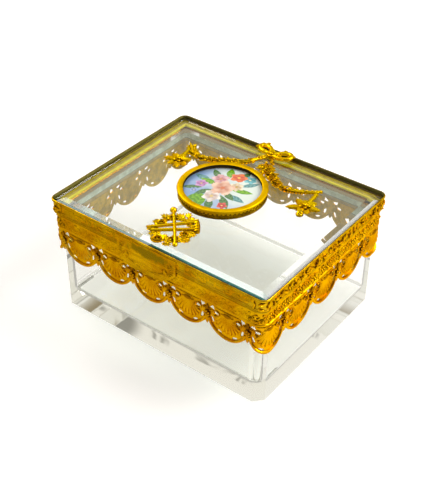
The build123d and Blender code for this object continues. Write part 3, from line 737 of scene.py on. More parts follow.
def make_gallery_strip():
    """The thin pierced strip: one scallop with its holes, repeated round the box."""
    bm = bmesh.new()

    def line(points):
        verts = [bm.verts.new((x, y, -0.6)) for x, y in points]
        for pair in zip(verts, verts[1:] + verts[:1]):
            bm.edges.new(pair)

    half = PITCH / 2
    edge = [(half, 0.6), (half, -12.6), (half - 0.5, -12.2)]
    for index in range(21):
        turn = radians(-21 - 138 * index / 20)
        edge.append((12.0 * cos(turn), LOBE_CENTRE + 12.0 * sin(turn)))
    edge += [(-half + 0.5, -12.2), (-half, -12.6), (-half, 0.6)]
    line(edge)
    holes = ((13, 6.8, 0, 3.0, 1.8), (-20, 9.5, 90, 3.8, 1.45), (-62, 9.8, 90, 3.5, 1.35))
    for side in (1, -1):
        for direction, away, turn, length, width in holes:
            x, y = away * cos(radians(direction)), LOBE_CENTRE + away * sin(radians(direction))
            lean = radians(direction + turn)
            ring = [(length / 2 * cos(2 * pi * k / 12), width / 2 * sin(2 * pi * k / 12)) for k in range(12)]
            line([(side * (x + u * cos(lean) - v * sin(lean)), y + u * sin(lean) + v * cos(lean)) for u, v in ring])
        x = side * (half - 3.1)
        ring = [(radians(90 * side + 45 + 120 * k), 2.1) for k in range(3)]
        line([(x + size * cos(turn), -2.0 + size * sin(turn) * 0.95) for turn, size in ring])
    bmesh.ops.triangle_fill(bm, edges=bm.edges, use_beauty=True, use_dissolve=False)
    made = bmesh.ops.extrude_face_region(bm, geom=bm.faces[:])["geom"]
    bmesh.ops.translate(bm, vec=(0, 0, 0.55), verts=[part for part in made if isinstance(part, bmesh.types.BMVert)])
    bmesh.ops.recalc_face_normals(bm, faces=bm.faces)
    ends = [face for face in bm.faces if all(abs(vert.co.x) > half - 0.001 for vert in face.verts)]
    bmesh.ops.delete(bm, geom=ends, context="FACES_ONLY")
    for index in range(1, 20):
        cut = -half + PITCH * index / 20
        bmesh.ops.bisect_plane(bm, geom=bm.verts[:] + bm.edges[:] + bm.faces[:], dist=0.001, plane_co=(cut, 0, 0), plane_no=(1, 0, 0))
    unit = motif(bm)
    bm = bmesh.new()
    stamp(bm, unit, *[at(SHIFT + PITCH * index, COLLAR_LOW) for index in range(SCALLOPS)])
    bend_round(bm, GALLERY_FACE)
    bmesh.ops.remove_doubles(bm, verts=bm.verts, dist=0.01)
    galleries = ("gallery_front", "gallery_right", "gallery_back", "gallery_left")
    return finish(bm, "gallery_strip", "casket", gilt_strip, galleries)


def make_gallery_relief():
    """The shell, its border and the joint's leaf that are stamped into each scallop."""
    unit = bmesh.new()
    centre = (0, LOBE_CENTRE)
    stamp(unit, arc_bar(11.4, -166, -14, 1.5, 0.85, 26), at(*centre))
    stamp(unit, bead(1.0, 1.0, 20, 8), at(0, LOBE_CENTRE - 1.2, -0.1) @ Matrix.Diagonal((5.4, 6.6, 0.8, 1)))
    for index in range(9):
        turn = -160 + 17.5 * index
        tip = (8.3 * cos(radians(turn)), LOBE_CENTRE + 8.3 * sin(radians(turn)))
        root = (0.2 * tip[0], -1.6 + 0.1 * (tip[1] + 1.9))
        reach = hypot(tip[0] - root[0], tip[1] - root[1])
        heading = 90 - degrees(atan2(tip[0] - root[0], tip[1] - root[1]))
        flute = lobe(reach, 2.3, 1.08, widest=0.7, point=0.6)
        stamp(unit, flute, at(*root, -0.05, heading))
    for side in (1, -1):
        ring = arc_bar(1.75, 0, 360, 0.7, 0.55, 14, 6)
        place = at(6.6, -4.55, 0, 13)
        stamp(unit, ring, place if side > 0 else mirrored(place))
    stamp(unit, lobe(15.0, 0.9, 0.6, widest=0.5, point=0.3), at(-7.5, -0.6, 0, 0))
    unit = motif(unit)
    joint = bmesh.new()
    stamp(joint, lobe(7.4, 2.7, 0.9, widest=0.45, vein=0.35), at(0, -6.0, 0, -90))
    petal = lobe(2.0, 1.3, 0.6, widest=0.62, point=0.55)
    stamp(joint, petal, *[at(0, -6.6, 0.7, turn) for turn in range(30, 390, 60)])
    stamp(joint, bead(0.7, 0.9), at(0, -6.6, 1.0))
    for place in (at(0.9, -4.3, 0, 10), at(1.2, -11.0, 0, -62)):
        curl = lobe(3.4, 1.1, 0.6, widest=0.4, sway=0.9)
        stamp(joint, curl, place, mirrored(place))
    joint = motif(joint)
    bm = bmesh.new()
    stamp(bm, unit, *[at(SHIFT + PITCH * index, COLLAR_LOW) for index in range(SCALLOPS)])
    stamp(bm, joint, *[at(SHIFT + PITCH * (index + 0.5), COLLAR_LOW) for index in range(SCALLOPS)])
    bend_round(bm, GALLERY_FACE)
    return finish(bm, "gallery_relief", "casket", gilt_strip)


def make_gallery_hollows():
    """Painted shade: a dark root on each shell and a dark leaf above each joint."""
    bm = bmesh.new()
    root = bead(1.0, 1.0, 12, 6)
    leaf = lobe(4.2, 1.9, 0.8, widest=0.5, vein=0.45)
    for index in range(SCALLOPS):
        run = SHIFT + PITCH * index
        stamp(bm, root, at(run, COLLAR_LOW - 2.7, 0.3) @ Matrix.Diagonal((2.5, 1.3, 0.5, 1)))
        for side in (-1, 1):
            stamp(bm, leaf, at(run + 1.6 * side, COLLAR_LOW - 2.6, 0.2, 90 - 100 * side, 0.5))
        run += PITCH / 2
        stamp(bm, leaf, at(run, COLLAR_LOW - 5.0, 0.1, 90))
        for side in (-1, 1):
            stamp(bm, leaf, at(run + 0.5 * side, COLLAR_LOW - 4.6, 0, 90 - 30 * side, 0.6))
    bend_round(bm, GALLERY_FACE)
    return finish(bm, "gallery_hollows", "casket", gilt_shadowed)


make_collar_relief()
make_lid_relief()
make_gallery_strip()
make_gallery_relief()
make_gallery_hollows()

for name in ("hinge_body_leaf", "hinge_lid_leaf", "hinge_pin", "medallion_backplate"):
    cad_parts[name].data.materials.clear()
    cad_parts[name].data.materials.append(gilt_dull)
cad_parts["lid_glass"].data.materials.clear()
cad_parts["lid_glass"].data.materials.append(plate_glass)


# ============================================================ thumb lift
LIFT_MIDDLE = -2.8
LIFT_HALF = 19.3
LIFT_TOP = 71.0
LIFT_LOW = 57.1


def lift_out(across, up):
    """How far the lift's face stands out from the lid's, at a share of its half width."""
    fall = (LIFT_TOP - up) / (LIFT_TOP - LIFT_LOW)
    scoop = max(1 - abs(across) ** 3, 0)
    flare = 0.25 + 3.0 * fall**2.2
    horn = 0.5 * 2.718 ** (-(((abs(across) - 0.8) / 0.13) ** 2)) * sin(pi * min(fall * 1.3, 1)) ** 0.7
    return -0.55 + flare * (0.45 + 0.55 * scoop) * min(fall * 4, 1) + horn


def make_lift():
    """A thumb scoop that grows out of the lid's band and hangs over the collar."""
    bm = bmesh.new()
    bmesh.ops.create_grid(bm, x_segments=56, y_segments=20, size=1.0)
    for vert in bm.verts:
        across = vert.co.x
        low = LIFT_LOW + 5.2 * max((abs(across) - 0.58) / 0.42, 0) ** 1.6
        up = low + (LIFT_TOP - low) * (vert.co.y + 1) / 2
        vert.co = Vector((LIFT_MIDDLE + LIFT_HALF * across, -LID_FACE[1] - lift_out(across, up), up))
    bmesh.ops.recalc_face_normals(bm, faces=bm.faces)
    if sum(face.normal.y for face in bm.faces) > 0:
        bmesh.ops.reverse_faces(bm, faces=bm.faces)
    bmesh.ops.solidify(bm, geom=bm.faces[:], thickness=0.6)
    bmesh.ops.recalc_face_normals(bm, faces=bm.faces)
    flute = lobe(3.6, 1.05, 0.45, widest=0.7, point=0.6)
    volute = arc_bar(1.5, -40, 260, 0.6, 0.45, 12, 6)
    leaf = lobe(5.4, 1.6, 0.45, widest=0.4, vein=0.35, sway=0.9)
    relief = bmesh.new()
    for turn in (-75, -50, -25, 0, 25, 50):
        stamp(relief, flute, at(14.4 + 0.5 * cos(radians(turn)), 63.6 + 0.5 * sin(radians(turn)), 0, turn, 1.0))
    stamp(relief, volute, at(12.6, 62.2, 0, 30), at(15.8, 66.8, 0, 200, 0.8))
    for place in (at(11.0, 60.6, 0, 186), at(6.4, 59.6, 0, 182, 0.9), at(12.8, 65.4, 0, 150, 0.8)):
        stamp(relief, leaf, place)
    relief = motif(relief)
    both = bmesh.new()
    stamp(both, relief, Matrix.Identity(4), Matrix.Diagonal((-1, 1, 1, 1)))
    for vert in both.verts:
        across, up, out = vert.co
        base = lift_out(min(max(across / LIFT_HALF, -1), 1), up)
        vert.co = Vector((LIFT_MIDDLE + across, -LID_FACE[1] - base - out, up))
    bmesh.ops.recalc_face_normals(both, faces=both.faces)
    stamp(bm, motif(both), Matrix.Identity(4))
    return finish(bm, "thumb_scoop", "lid", gilt_lift, ("thumb_lift",), 50)


make_lift()

# ============================================================ medallion
bm = turned(
    [
        (22.1, 75.2), (22.1, 74.9), (23.6, 74.9), (23.6, 76.1), (24.1, 76.3), (24.35, 76.6), (24.4, 77.0),
        (24.25, 77.35), (23.95, 77.6), (23.5, 77.7), (21.9, 77.7), (21.4, 77.66), (21.05, 77.5), (20.9, 77.2),
        (20.85, 76.8), (20.85, 76.0), (21.6, 75.2),
    ]
)
finish(bm, "medallion_bezel", "lid", gilt_ring, ("medallion_ring",))

bm = turned(
    [
        (22.1, 72.72), (23.9, 72.72), (24.0, 72.9), (23.9, 73.15), (23.62, 73.3), (23.55, 73.5), (23.55, 75.9),
        (23.7, 76.05), (23.7, 76.3), (22.1, 76.3),
    ]
)
rope = lobe(2.7, 1.25, 0.75, widest=0.5, vein=0.3)
for index in range(64):
    turn = 360 * index / 64
    place = Matrix.Translation((0, RING_Y, 0)) @ Matrix.Rotation(radians(turn), 4, "Z")
    stamp(bm, rope, place @ Matrix.Translation((23.35, 0, 73.5)) @ Matrix.Rotation(pi / 2, 4, "Y") @ Matrix.Rotation(radians(152), 4, "Z"))
finish(bm, "medallion_wall", "lid", gilt_ring_wall_shaded, ("medallion_ring",))


# ============================================================ painted plaque
def make_blossom():
    """A painted flower: how much of it covers a point, and how light its petals are there."""
    tree, ins, outs = new_group(
        "blossom",
        [
            ("Place", "Vector", (0, 0, 0)),
            ("Middle", "Vector", (0, 0, 0)),
            ("Size", "Float", 0.2),
            ("Petals", "Float", 5.0),
            ("Turn", "Float", 0.0),
            ("Lobing", "Float", 0.12),
        ],
        [("Cover", "Float"), ("Light", "Float"), ("Heart", "Float")],
    )
    off = node(tree, "VectorMath", {0: ins["Place"], 1: ins["Middle"]}, operation="SUBTRACT").outputs[0]
    ragged = noise(tree, ins["Place"], 14, 2, 0.6)
    split = node(tree, "SeparateXYZ", {0: off}).outputs
    flat = node(tree, "CombineXYZ", {0: split[0], 1: split[1]}).outputs[0]
    away = node(tree, "VectorMath", {0: flat}, operation="LENGTH").outputs["Value"]
    away = figure(tree, "DIVIDE", away, ins["Size"])
    turn = figure(tree, "ADD", figure(tree, "ARCTAN2", split[1], split[0]), ins["Turn"])
    wave = figure(tree, "COSINE", figure(tree, "MULTIPLY", turn, ins["Petals"]))
    edge = figure(tree, "ADD", figure(tree, "MULTIPLY", wave, ins["Lobing"]), 0.86)
    edge = figure(tree, "ADD", edge, spread(tree, ragged, 0.3, 0.7, -0.08, 0.08))
    cover = spread(tree, figure(tree, "SUBTRACT", away, edge), 0.05, -0.05)
    swirl = figure(tree, "ADD", figure(tree, "MULTIPLY", away, 9.0), figure(tree, "MULTIPLY", turn, 2.0))
    folds = spread(tree, figure(tree, "SINE", swirl), -1.0, 1.0)
    light = figure(tree, "MULTIPLY", spread(tree, away, 0.0, 1.0, 0.25, 1.0), spread(tree, folds, 0, 1, 0.6, 1.0))
    light = figure(tree, "ADD", light, figure(tree, "MULTIPLY", wave, 0.12), clamp=True)
    tree.links.new(cover, outs["Cover"])
    tree.links.new(light, outs["Light"])
    tree.links.new(spread(tree, away, 0.24, 0.1), outs["Heart"])
    return tree


def make_painted_leaf():
    """A painted leaf, from its middle, direction, length and width."""
    tree, ins, outs = new_group(
        "painted_leaf",
        [
            ("Place", "Vector", (0, 0, 0)),
            ("Middle", "Vector", (0, 0, 0)),
            ("Turn", "Float", 0.0),
            ("Length", "Float", 0.2),
            ("Width", "Float", 0.08),
        ],
        [("Cover", "Float"), ("Light", "Float")],
    )
    off = node(tree, "VectorMath", {0: ins["Place"], 1: ins["Middle"]}, operation="SUBTRACT").outputs[0]
    off = node(tree, "VectorRotate", {"Vector": off, "Angle": ins["Turn"]}, rotation_type="Z_AXIS").outputs[0]
    split = node(tree, "SeparateXYZ", {0: off}).outputs
    along = figure(tree, "DIVIDE", split[0], ins["Length"])
    across = figure(tree, "ABSOLUTE", figure(tree, "DIVIDE", split[1], ins["Width"]))
    edge = figure(tree, "SUBTRACT", 1.0, figure(tree, "POWER", figure(tree, "ABSOLUTE", along), 1.7))
    cover = spread(tree, figure(tree, "SUBTRACT", across, edge), 0.12, -0.08)
    vein = spread(tree, across, 0.22, 0.0)
    ribs = figure(tree, "SINE", figure(tree, "ADD", figure(tree, "MULTIPLY", along, 16.0), figure(tree, "MULTIPLY", across, 5.0)))
    light = figure(tree, "ADD", spread(tree, ribs, -1, 1, 0.25, 0.65), figure(tree, "MULTIPLY", vein, 0.35), clamp=True)
    tree.links.new(cover, outs["Cover"])
    tree.links.new(light, outs["Light"])
    return tree


LEAVES = (
    (-0.62, -0.30, 215, 0.26, 0.11, "fresh"), (-0.50, -0.44, 245, 0.27, 0.12, "fresh"), (-0.30, -0.56, 262, 0.24, 0.09, "deep"),
    (0.02, -0.50, 285, 0.25, 0.09, "deep"), (0.28, -0.38, 320, 0.22, 0.08, "blue"), (0.42, -0.12, 345, 0.24, 0.08, "fresh"),
    (0.60, 0.14, 20, 0.22, 0.07, "blue"), (0.50, 0.52, 52, 0.2, 0.08, "deep"), (0.18, 0.62, 80, 0.22, 0.09, "fresh"),
    (-0.12, 0.60, 105, 0.22, 0.08, "deep"), (-0.42, 0.46, 135, 0.24, 0.09, "blue"), (-0.66, 0.10, 170, 0.22, 0.07, "deep"),
    (-0.30, 0.30, 140, 0.22, 0.09, "fresh"), (0.12, -0.28, 300, 0.2, 0.08, "deep"), (-0.42, -0.10, 200, 0.2, 0.08, "deep"),
)
LEAF_TONES = {
    "fresh": ((0.05, 0.2, 0.005, 1), (0.3, 0.62, 0.02, 1)),
    "deep": ((0.03, 0.09, 0.03, 1), (0.16, 0.34, 0.1, 1)),
    "blue": ((0.04, 0.16, 0.17, 1), (0.24, 0.5, 0.46, 1)),
}
BLOSSOMS = (
    (-0.46, 0.22, 0.15, 5, 0.1, (0.3, 0.05, 0.25, 1), (0.78, 0.42, 0.7, 1), (0.8, 0.6, 0.2, 1)),
    (0.60, 0.36, 0.16, 6, 0.4, (0.02, 0.22, 0.26, 1), (0.28, 0.72, 0.74, 1), (0.9, 0.8, 0.4, 1)),
    (-0.04, 0.38, 0.21, 5, 0.9, (0.45, 0.09, 0.11, 1), (0.95, 0.62, 0.6, 1), (0.7, 0.3, 0.1, 1)),
    (0.36, 0.44, 0.2, 5, 0.2, (0.55, 0.02, 0.005, 1), (1.0, 0.24, 0.05, 1), (1.0, 0.6, 0.1, 1)),
    (0.30, 0.06, 0.17, 6, 0.7, (0.5, 0.28, 0.12, 1), (0.98, 0.86, 0.6, 1), (0.6, 0.35, 0.05, 1)),
    (-0.24, -0.28, 0.22, 5, 0.5, (0.5, 0.3, 0.22, 1), (1.0, 0.93, 0.85, 1), (0.8, 0.6, 0.2, 1)),
    (0.0, 0.02, 0.29, 5, 1.3, (0.55, 0.17, 0.09, 1), (1.0, 0.7, 0.5, 1), (0.7, 0.2, 0.08, 1)),
    (-0.02, -0.62, 0.12, 5, 0.3, (0.4, 0.01, 0.02, 1), (0.85, 0.16, 0.12, 1), (0.9, 0.6, 0.2, 1)),
    (-0.62, -0.02, 0.09, 5, 0.3, (0.1, 0.14, 0.4, 1), (0.45, 0.58, 0.85, 1), (0.9, 0.8, 0.4, 1)),
)


def make_painting():
    """Glazed porcelain with a bunch of flowers on a ground that pales to one side."""
    material, tree, out = new_material("painted_porcelain")
    place = node(tree, "TexCoord").outputs["Object"]
    scale = 1 / (RING_OPENING * MM)
    # the bunch is turned so that its foot points to the front left corner
    flat = node(
        tree, "Mapping",
        {
            "Location": (0, 0, 0),
            "Rotation": (0, 0, radians(-37)),
            "Scale": (1, 1, 1),
            "Vector": node(tree, "VectorMath", {0: place, 1: (0, -RING_Y * MM, 0)}, operation="ADD").outputs[0],
        },
    ).outputs[0]
    flat = node(tree, "VectorMath", {0: flat, "Scale": scale / 1.16}, operation="SCALE").outputs[0]
    flat = node(tree, "VectorMath", {0: flat, 1: (1, 1, 0)}, operation="MULTIPLY").outputs[0]
    split = node(tree, "SeparateXYZ", {0: flat}).outputs
    cloud = noise(tree, flat, 2.4, 3, 0.55)
    aside = figure(tree, "ADD", split[0], spread(tree, cloud, 0.2, 0.8, -0.35, 0.35))
    colour = blend_colour(tree, spread(tree, aside, -0.75, 0.5), (0.27, 0.42, 0.68, 1), (0.79, 0.86, 0.76, 1))
    colour = blend_colour(tree, spread(tree, split[1], -0.2, -1.0, 0.0, 0.4), colour, (0.6, 0.7, 0.85, 1))
    for x, y, turn, length, width, tone in LEAVES:
        leaf = use_group(
            tree, painted_leaf,
            {"Place": flat, "Middle": (x, y, 0), "Turn": radians(-turn), "Length": length, "Width": width},
        )
        paint = blend_colour(tree, leaf["Light"], *LEAF_TONES[tone])
        colour = blend_colour(tree, leaf["Cover"], colour, paint)
    for x, y, size, petals, turn, dark, pale, heart in BLOSSOMS:
        flower = use_group(
            tree, blossom,
            {"Place": flat, "Middle": (x, y, 0), "Size": size, "Petals": float(petals), "Turn": turn},
        )
        paint = blend_colour(tree, flower["Light"], dark, pale)
        paint = blend_colour(tree, flower["Heart"], paint, heart)
        colour = blend_colour(tree, flower["Cover"], colour, paint)
    shader = node(
        tree, "BsdfPrincipled",
        {"Base Color": colour, "Roughness": 0.22, "Coat Weight": 1.0, "Coat Roughness": 0.04, "IOR": 1.5},
    )
    tree.links.new(shader.outputs[0], out["Surface"])
    return material


blossom = make_blossom()
painted_leaf = make_painted_leaf()
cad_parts["porcelain_plaque"].data.materials.clear()
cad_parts["porcelain_plaque"].data.materials.append(make_painting())
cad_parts["porcelain_plaque"].data.shade_smooth()


# ============================================================ lid ornaments
def acanthus(size, lobes=5):
    """A cut leaf: a long middle lobe and pairs of side lobes."""
    bm = bmesh.new()
    stamp(bm, lobe(4.6, 1.5, 0.6, widest=0.45, vein=0.3, rise=0.3), at(0, 0))
    for step in range(lobes // 2):
        away = 0.7 + 1.2 * step
        side = lobe(2.9 - 0.5 * step, 1.1, 0.5, widest=0.5, vein=0.25, rise=0.15)
        stamp(bm, side, at(away, 0.1, 0, 52 - 8 * step), at(away, -0.1, 0, -52 + 8 * step))
    bmesh.ops.scale(bm, vec=(size, size, size), verts=bm.verts)
    return motif(bm)


def rosette(radius, petals=6, cup=0.0):
    """A flower of round petals about a bead, hollow at its heart with a cup."""
    bm = bmesh.new()
    petal = lobe(radius, radius * 0.95, 0.28 * radius, widest=0.62, point=0.5, vein=0.3, rise=cup * radius)
    stamp(bm, petal, *[at(0, 0, 0, 360 * index / petals) for index in range(petals)])
    if cup:
        stamp(bm, arc_bar(0.48 * radius, 0, 350, 0.3 * radius, 0.3 * radius, 12, 6), at(0, 0, 0.25 * radius))
        stamp(bm, bead(0.2 * radius), at(0, 0, 0.15 * radius))
    else:
        stamp(bm, bead(0.32 * radius), at(0, 0, 0.22 * radius))
    return motif(bm)


LEAF = acanthus(1.0)
SPRIG = lobe(3.0, 1.25, 0.55, widest=0.45, vein=0.3, rise=0.35)
BERRY = bead(0.6)
BASE = GLASS_TOP + 0.35


def along_line(points, step):
    """Places and headings at even steps along a broken line."""
    found, carried = [], 0.0
    for (x0, y0), (x1, y1) in zip(points, points[1:]):
        span = hypot(x1 - x0, y1 - y0)
        heading = 90 - degrees(atan2(x1 - x0, y1 - y0))
        distance = carried
        while distance < span:
            share = distance / span
            found.append((x0 + (x1 - x0) * share, y0 + (y1 - y0) * share, heading))
            distance += step
        carried = distance - span
    return found


def make_garland(name, points, plain, blooms, replaced, fullness):
    """A swag: a stem, leaves in pairs that grow along it, and small flowers. Its
    fullness is the leaves' size at the start and at the end."""
    bm = bmesh.new()
    line = [(x, y, BASE + 0.6 + 0.15 * sin(index)) for index, (x, y) in enumerate(points)]
    stamp(bm, stem(line, 1.1, 0.8), Matrix.Identity(4))
    places = along_line(points, 1.5)
    for index, (x, y, heading) in enumerate(places):
        if index < plain:
            continue
        full = fullness[0] + (fullness[1] - fullness[0]) * index / len(places)
        swing = random.uniform(-14, 14)
        for side in (-1, 1):
            size = full * random.uniform(0.85, 1.15)
            stamp(bm, SPRIG, at(x, y, BASE + 0.2, heading + side * (50 + swing), size, 8))
        stamp(bm, SPRIG, at(x - 0.4, y, BASE + 0.9, heading + 1.6 * swing, 0.8 * full, 16))
        if index % 2 == 0:
            stamp(bm, BERRY, at(x, y + 0.3, BASE + 1.5, 0, 0.7 + 0.35 * full))
    for x, y, size in blooms:
        stamp(bm, rosette(size, 6, 0.15), at(x, y, BASE + 0.9))
    end = line[-1]
    hook = [end, (end[0] + 0.4, end[1] + 1.4, end[2] + 0.3), (end[0] + 2.0, end[1] + 1.9, end[2] + 0.6), (end[0] + 2.3, end[1] + 0.6, end[2] + 0.5)]
    stamp(bm, stem(hook, 0.8, 0.8), Matrix.Identity(4))
    stamp(bm, LEAF, at(end[0], end[1], BASE + 0.6, 20, 0.6, 14), at(end[0], end[1], BASE + 0.4, 115, 0.5, 10))
    return finish(bm, name, "lid", gilt_bright, replaced, 50)


make_garland(
    "swag_left",
    [(-1.6, 46.4), (-3.4, 43.6), (-5.2, 39.4), (-7.6, 34.6), (-12.6, 31.2), (-17.6, 28.8), (-22.8, 25.0), (-29.4, 22.6), (-36.0, 23.8), (-39.6, 26.6), (-41.6, 28.8)],
    5, [(-12.6, 31.2, 2.5), (-18.6, 28.0, 2.5), (-25.5, 23.8, 2.4), (-32.5, 22.8, 2.2)], ("garland_left",), (1.3, 1.3),
)
make_garland(
    "swag_right",
    [(2.4, 39.6), (4.4, 36.6), (7.4, 33.6), (11.2, 31.4), (15.2, 28.8), (20.2, 25.8), (24.6, 25.2), (28.8, 26.4), (33.0, 28.4), (37.0, 31.0), (40.0, 33.4)],
    0, [(4.2, 37.2, 2.6), (7.6, 33.4, 3.1), (12.6, 31.0, 2.9), (16.6, 27.8, 2.2), (22.0, 25.4, 1.9)], ("garland_right",), (2.0, 0.75),
)


def make_drop(name, middle, leaves, hook, replaced, bloom=None):
    """Broad pointed leaves about a knot of petals, hung from the garland's hook."""
    bm = bmesh.new()
    x, y = middle
    for index, (turn, reach) in enumerate(leaves):
        broad = lobe(reach, 4.6, 1.3, widest=0.5, point=0.9, vein=0.5, rise=0.3, sway=random.uniform(-0.5, 0.5))
        stamp(bm, broad, at(x, y, BASE + 0.35 + 0.3 * (index % 2), turn, 1.0, 3))
        for side, away in ((-1, 0.42), (1, 0.42), (-1, 0.66), (1, 0.66)):
            px, py = x + away * reach * cos(radians(turn)), y + away * reach * sin(radians(turn))
            stamp(bm, SPRIG, at(px, py, BASE + 0.5, turn + 46 * side, 1.15 - 0.4 * away, 5))
    for index in range(5):
        turn = 72 * index + 20
        petal = lobe(3.1, 2.2, 0.9, widest=0.6, point=0.5, vein=0.5, rise=0.2)
        stamp(bm, petal, at(x, y, BASE + 1.4, turn, 1.0, 4))
    stamp(bm, bead(1.1, 0.8), at(x, y, BASE + 2.1))
    stamp(bm, stem([(x, y, BASE + 0.8), ((x + hook[0]) / 2 + 0.5, (y + hook[1]) / 2, BASE + 0.9), (*hook, BASE + 0.8)], 1.15), Matrix.Identity(4))
    for share in (0.45, 0.65, 0.85):
        px, py = x + (hook[0] - x) * share, y + (hook[1] - y) * share
        stamp(bm, SPRIG, at(px, py, BASE + 0.7, 130, 0.8, 8), at(px, py, BASE + 0.7, 50, 0.8, 8))
    if bloom:
        stamp(bm, arc_bar(1.5, 0, 350, 1.2, 0.8, 14, 8), at(*bloom, BASE + 0.5))
        stamp(bm, bead(0.6), at(*bloom, BASE + 0.6))
    return finish(bm, name, "lid", gilt_bright, replaced, 50)


make_drop(
    "leaf_drop_left", (-38.4, 13.4), [(36, 7.4), (98, 7.0), (150, 8.0), (204, 9.0), (250, 7.4), (296, 8.6), (340, 7.6)],
    (-40.9, 25.8), ("drop_left",),
)
make_drop(
    "leaf_drop_right", (42.0, 18.0), [(8, 9.4), (62, 7.4), (112, 6.4), (158, 8.0), (222, 10.4), (268, 6.4), (314, 7.2)],
    (40.9, 31.2), ("drop_right",), (43.4, 11.2),
)


def make_bow():
    """A gathered ribbon bow on the back rim, its knot on the glass and two short tails."""
    bm = bmesh.new()
    top = LID_TOP + 1.2
    loops = (
        [(0, 48), (-3.0, 49.0), (-6.8, 49.0), (-10.0, 50.9), (-10.4, 53.6), (-7.9, 55.0), (-4.4, 54.2), (-1.6, 51.0), (0, 48)],
        [(0, 48), (3.0, 47.6), (7.2, 47.6), (10.4, 49.8), (10.9, 52.8), (8.6, 54.8), (5.4, 54.2), (2.0, 51.0), (0, 48)],
    )
    pleat = lobe(3.6, 2.1, 1.1, widest=0.5, vein=0.4, rise=0.2)
    for loop in loops:
        line = [(x, y, top + 0.4 + 0.4 * sin(pi * index / 8)) for index, (x, y) in enumerate(loop)]
        stamp(bm, stem(line, 1.5, 1.0, 0.8, 3), Matrix.Identity(4))
        for index, (x, y, heading) in enumerate(along_line(loop, 3.1)):
            if index > 0:
                stamp(bm, pleat, at(x, y, top + 0.75, heading + 24 * (1 if index % 2 else -1), 1.0, 4))
    tails = ([(0, 48), (-2.6, 45.6), (-4.0, 42.8), (-5.4, 40.2)], [(0, 48), (2.8, 45.8), (3.4, 43.4), (4.8, 42.0)])
    for tail in tails:
        stamp(bm, stem([(x, y, top - 0.3 - 0.12 * index) for index, (x, y) in enumerate(tail)], 1.05, 0.7, 0.8, 3), Matrix.Identity(4))
        for x, y, heading in along_line(tail, 2.0):
            stamp(bm, pleat, at(x, y, top + 0.1, heading + 12, 0.85, 2))
    stamp(bm, rosette(2.6, 6, 0.2), at(0, 48, top + 0.8))
    stamp(bm, bead(1.5, 0.9, 10, 8), at(0, 48, top + 1.1))
    stamp(bm, bead(1.5, 0.6), at(0, 47.8, GLASS_TOP + 0.6))
    return finish(bm, "bow", "lid", gilt_bright, ("ribbon_bow",), 50)


make_bow()


def make_wreath():
    """A thick wreath of leaves and roses with crossed staves laid over it."""
    bm = bmesh.new()
    centre = (0.6, -38.4)
    stamp(bm, arc_bar(9.7, 0, 360, 2.6, 0.9, 40, 8), at(*centre, BASE + 0.1))
    for index in range(30):
        turn = 360 * index / 30
        x, y = centre[0] + 9.7 * cos(radians(turn)), centre[1] + 9.8 * sin(radians(turn))
        side = (1, -1, 0)[index % 3]
        size = random.uniform(0.85, 1.1)
        stamp(bm, LEAF, at(x, y, BASE + 0.6, turn + 92 - side * 38, size, 8))
        if index % 2:
            stamp(bm, BERRY, at(x - 0.9 * side * cos(radians(turn)), y - 0.9 * side * sin(radians(turn)), BASE + 1.4, 0, 1.1))
    tufts = (
        (-8.6, -45.8, 205, 1.15), (-9.4, -44.2, 185, 0.9), (-6.6, -31.4, 140, 1.1), (-2.6, -27.6, 100, 1.0), (-0.4, -24.6, 78, 0.95),
        (12.4, -43.4, -20, 1.1), (6.4, -51.4, -70, 1.1), (-5.2, -49.4, 235, 1.0), (3.4, -26.6, 60, 0.9), (-9.8, -38.0, 175, 0.8),
        (11.6, -36.0, 20, 0.9), (3.8, -47.4, 100, 0.8),
    )
    for x, y, turn, size in tufts:
        stamp(bm, LEAF, at(x - 2.6 * cos(radians(turn)), y - 2.6 * sin(radians(turn)), BASE + 0.7, turn, size, 8))
    stamp(bm, rosette(3.7, 7, 0.3), at(0.1, -50.8, BASE + 0.7))
    stamp(bm, rosette(3.2, 6, 0.2), at(-7.0, -39.3, BASE + 0.9))
    stamp(bm, rosette(3.0, 6, 0.2), at(8.6, -39.8, BASE + 0.9))
    stamp(bm, rosette(2.2, 5, 0.1), at(-5.4, -32.6, BASE + 0.9), at(5.4, -46.6, BASE + 0.9), at(-6.0, -45.6, BASE + 0.9))
    top = BASE + 1.8
    for start, end, radius in (
        ((-10.6, -46.4), (6.4, -28.4), 0.95), ((-7.4, -47.0), (10.0, -33.2), 0.95),
    ):
        middle = ((start[0] + end[0]) / 2, (start[1] + end[1]) / 2, top - 0.3)
        stamp(bm, stem([(*start, top - 0.5), middle, (*end, top - 0.3)], radius), Matrix.Identity(4))
    stamp(bm, stem([(6.0, -27.0, top - 0.5), (9.6, -30.2, top - 0.3), (12.2, -34.4, top - 0.5)], 1.5, 1.0, 0.8, 3), Matrix.Identity(4))
    for share in (0.05, 0.3, 0.55, 0.8, 1.0):
        x, y = 6.2 + 5.8 * share, -27.2 - 7.0 * share
        stamp(bm, SPRIG, at(x - 1.2, y - 1.0, top + 0.4, 38, 1.0, 6), at(x + 0.8, y - 0.4, top + 0.2, -40, 0.8, 6))
    staff = [(-8.4, -27.6, top + 0.2), (0.8, -38.0, top + 0.65), (9.9, -48.9, top + 0.2)]
    stamp(bm, stem(staff, 0.95), Matrix.Identity(4))
    stamp(bm, bead(1.9, 0.85, 12, 8), at(-8.8, -27.2, top + 0.1))
    stamp(bm, bead(1.5, 0.8, 10, 8), at(10.3, -49.4, top))
    return finish(bm, "wreath", "lid", gilt_bright, ("wreath_mount",), 50)


make_wreath()


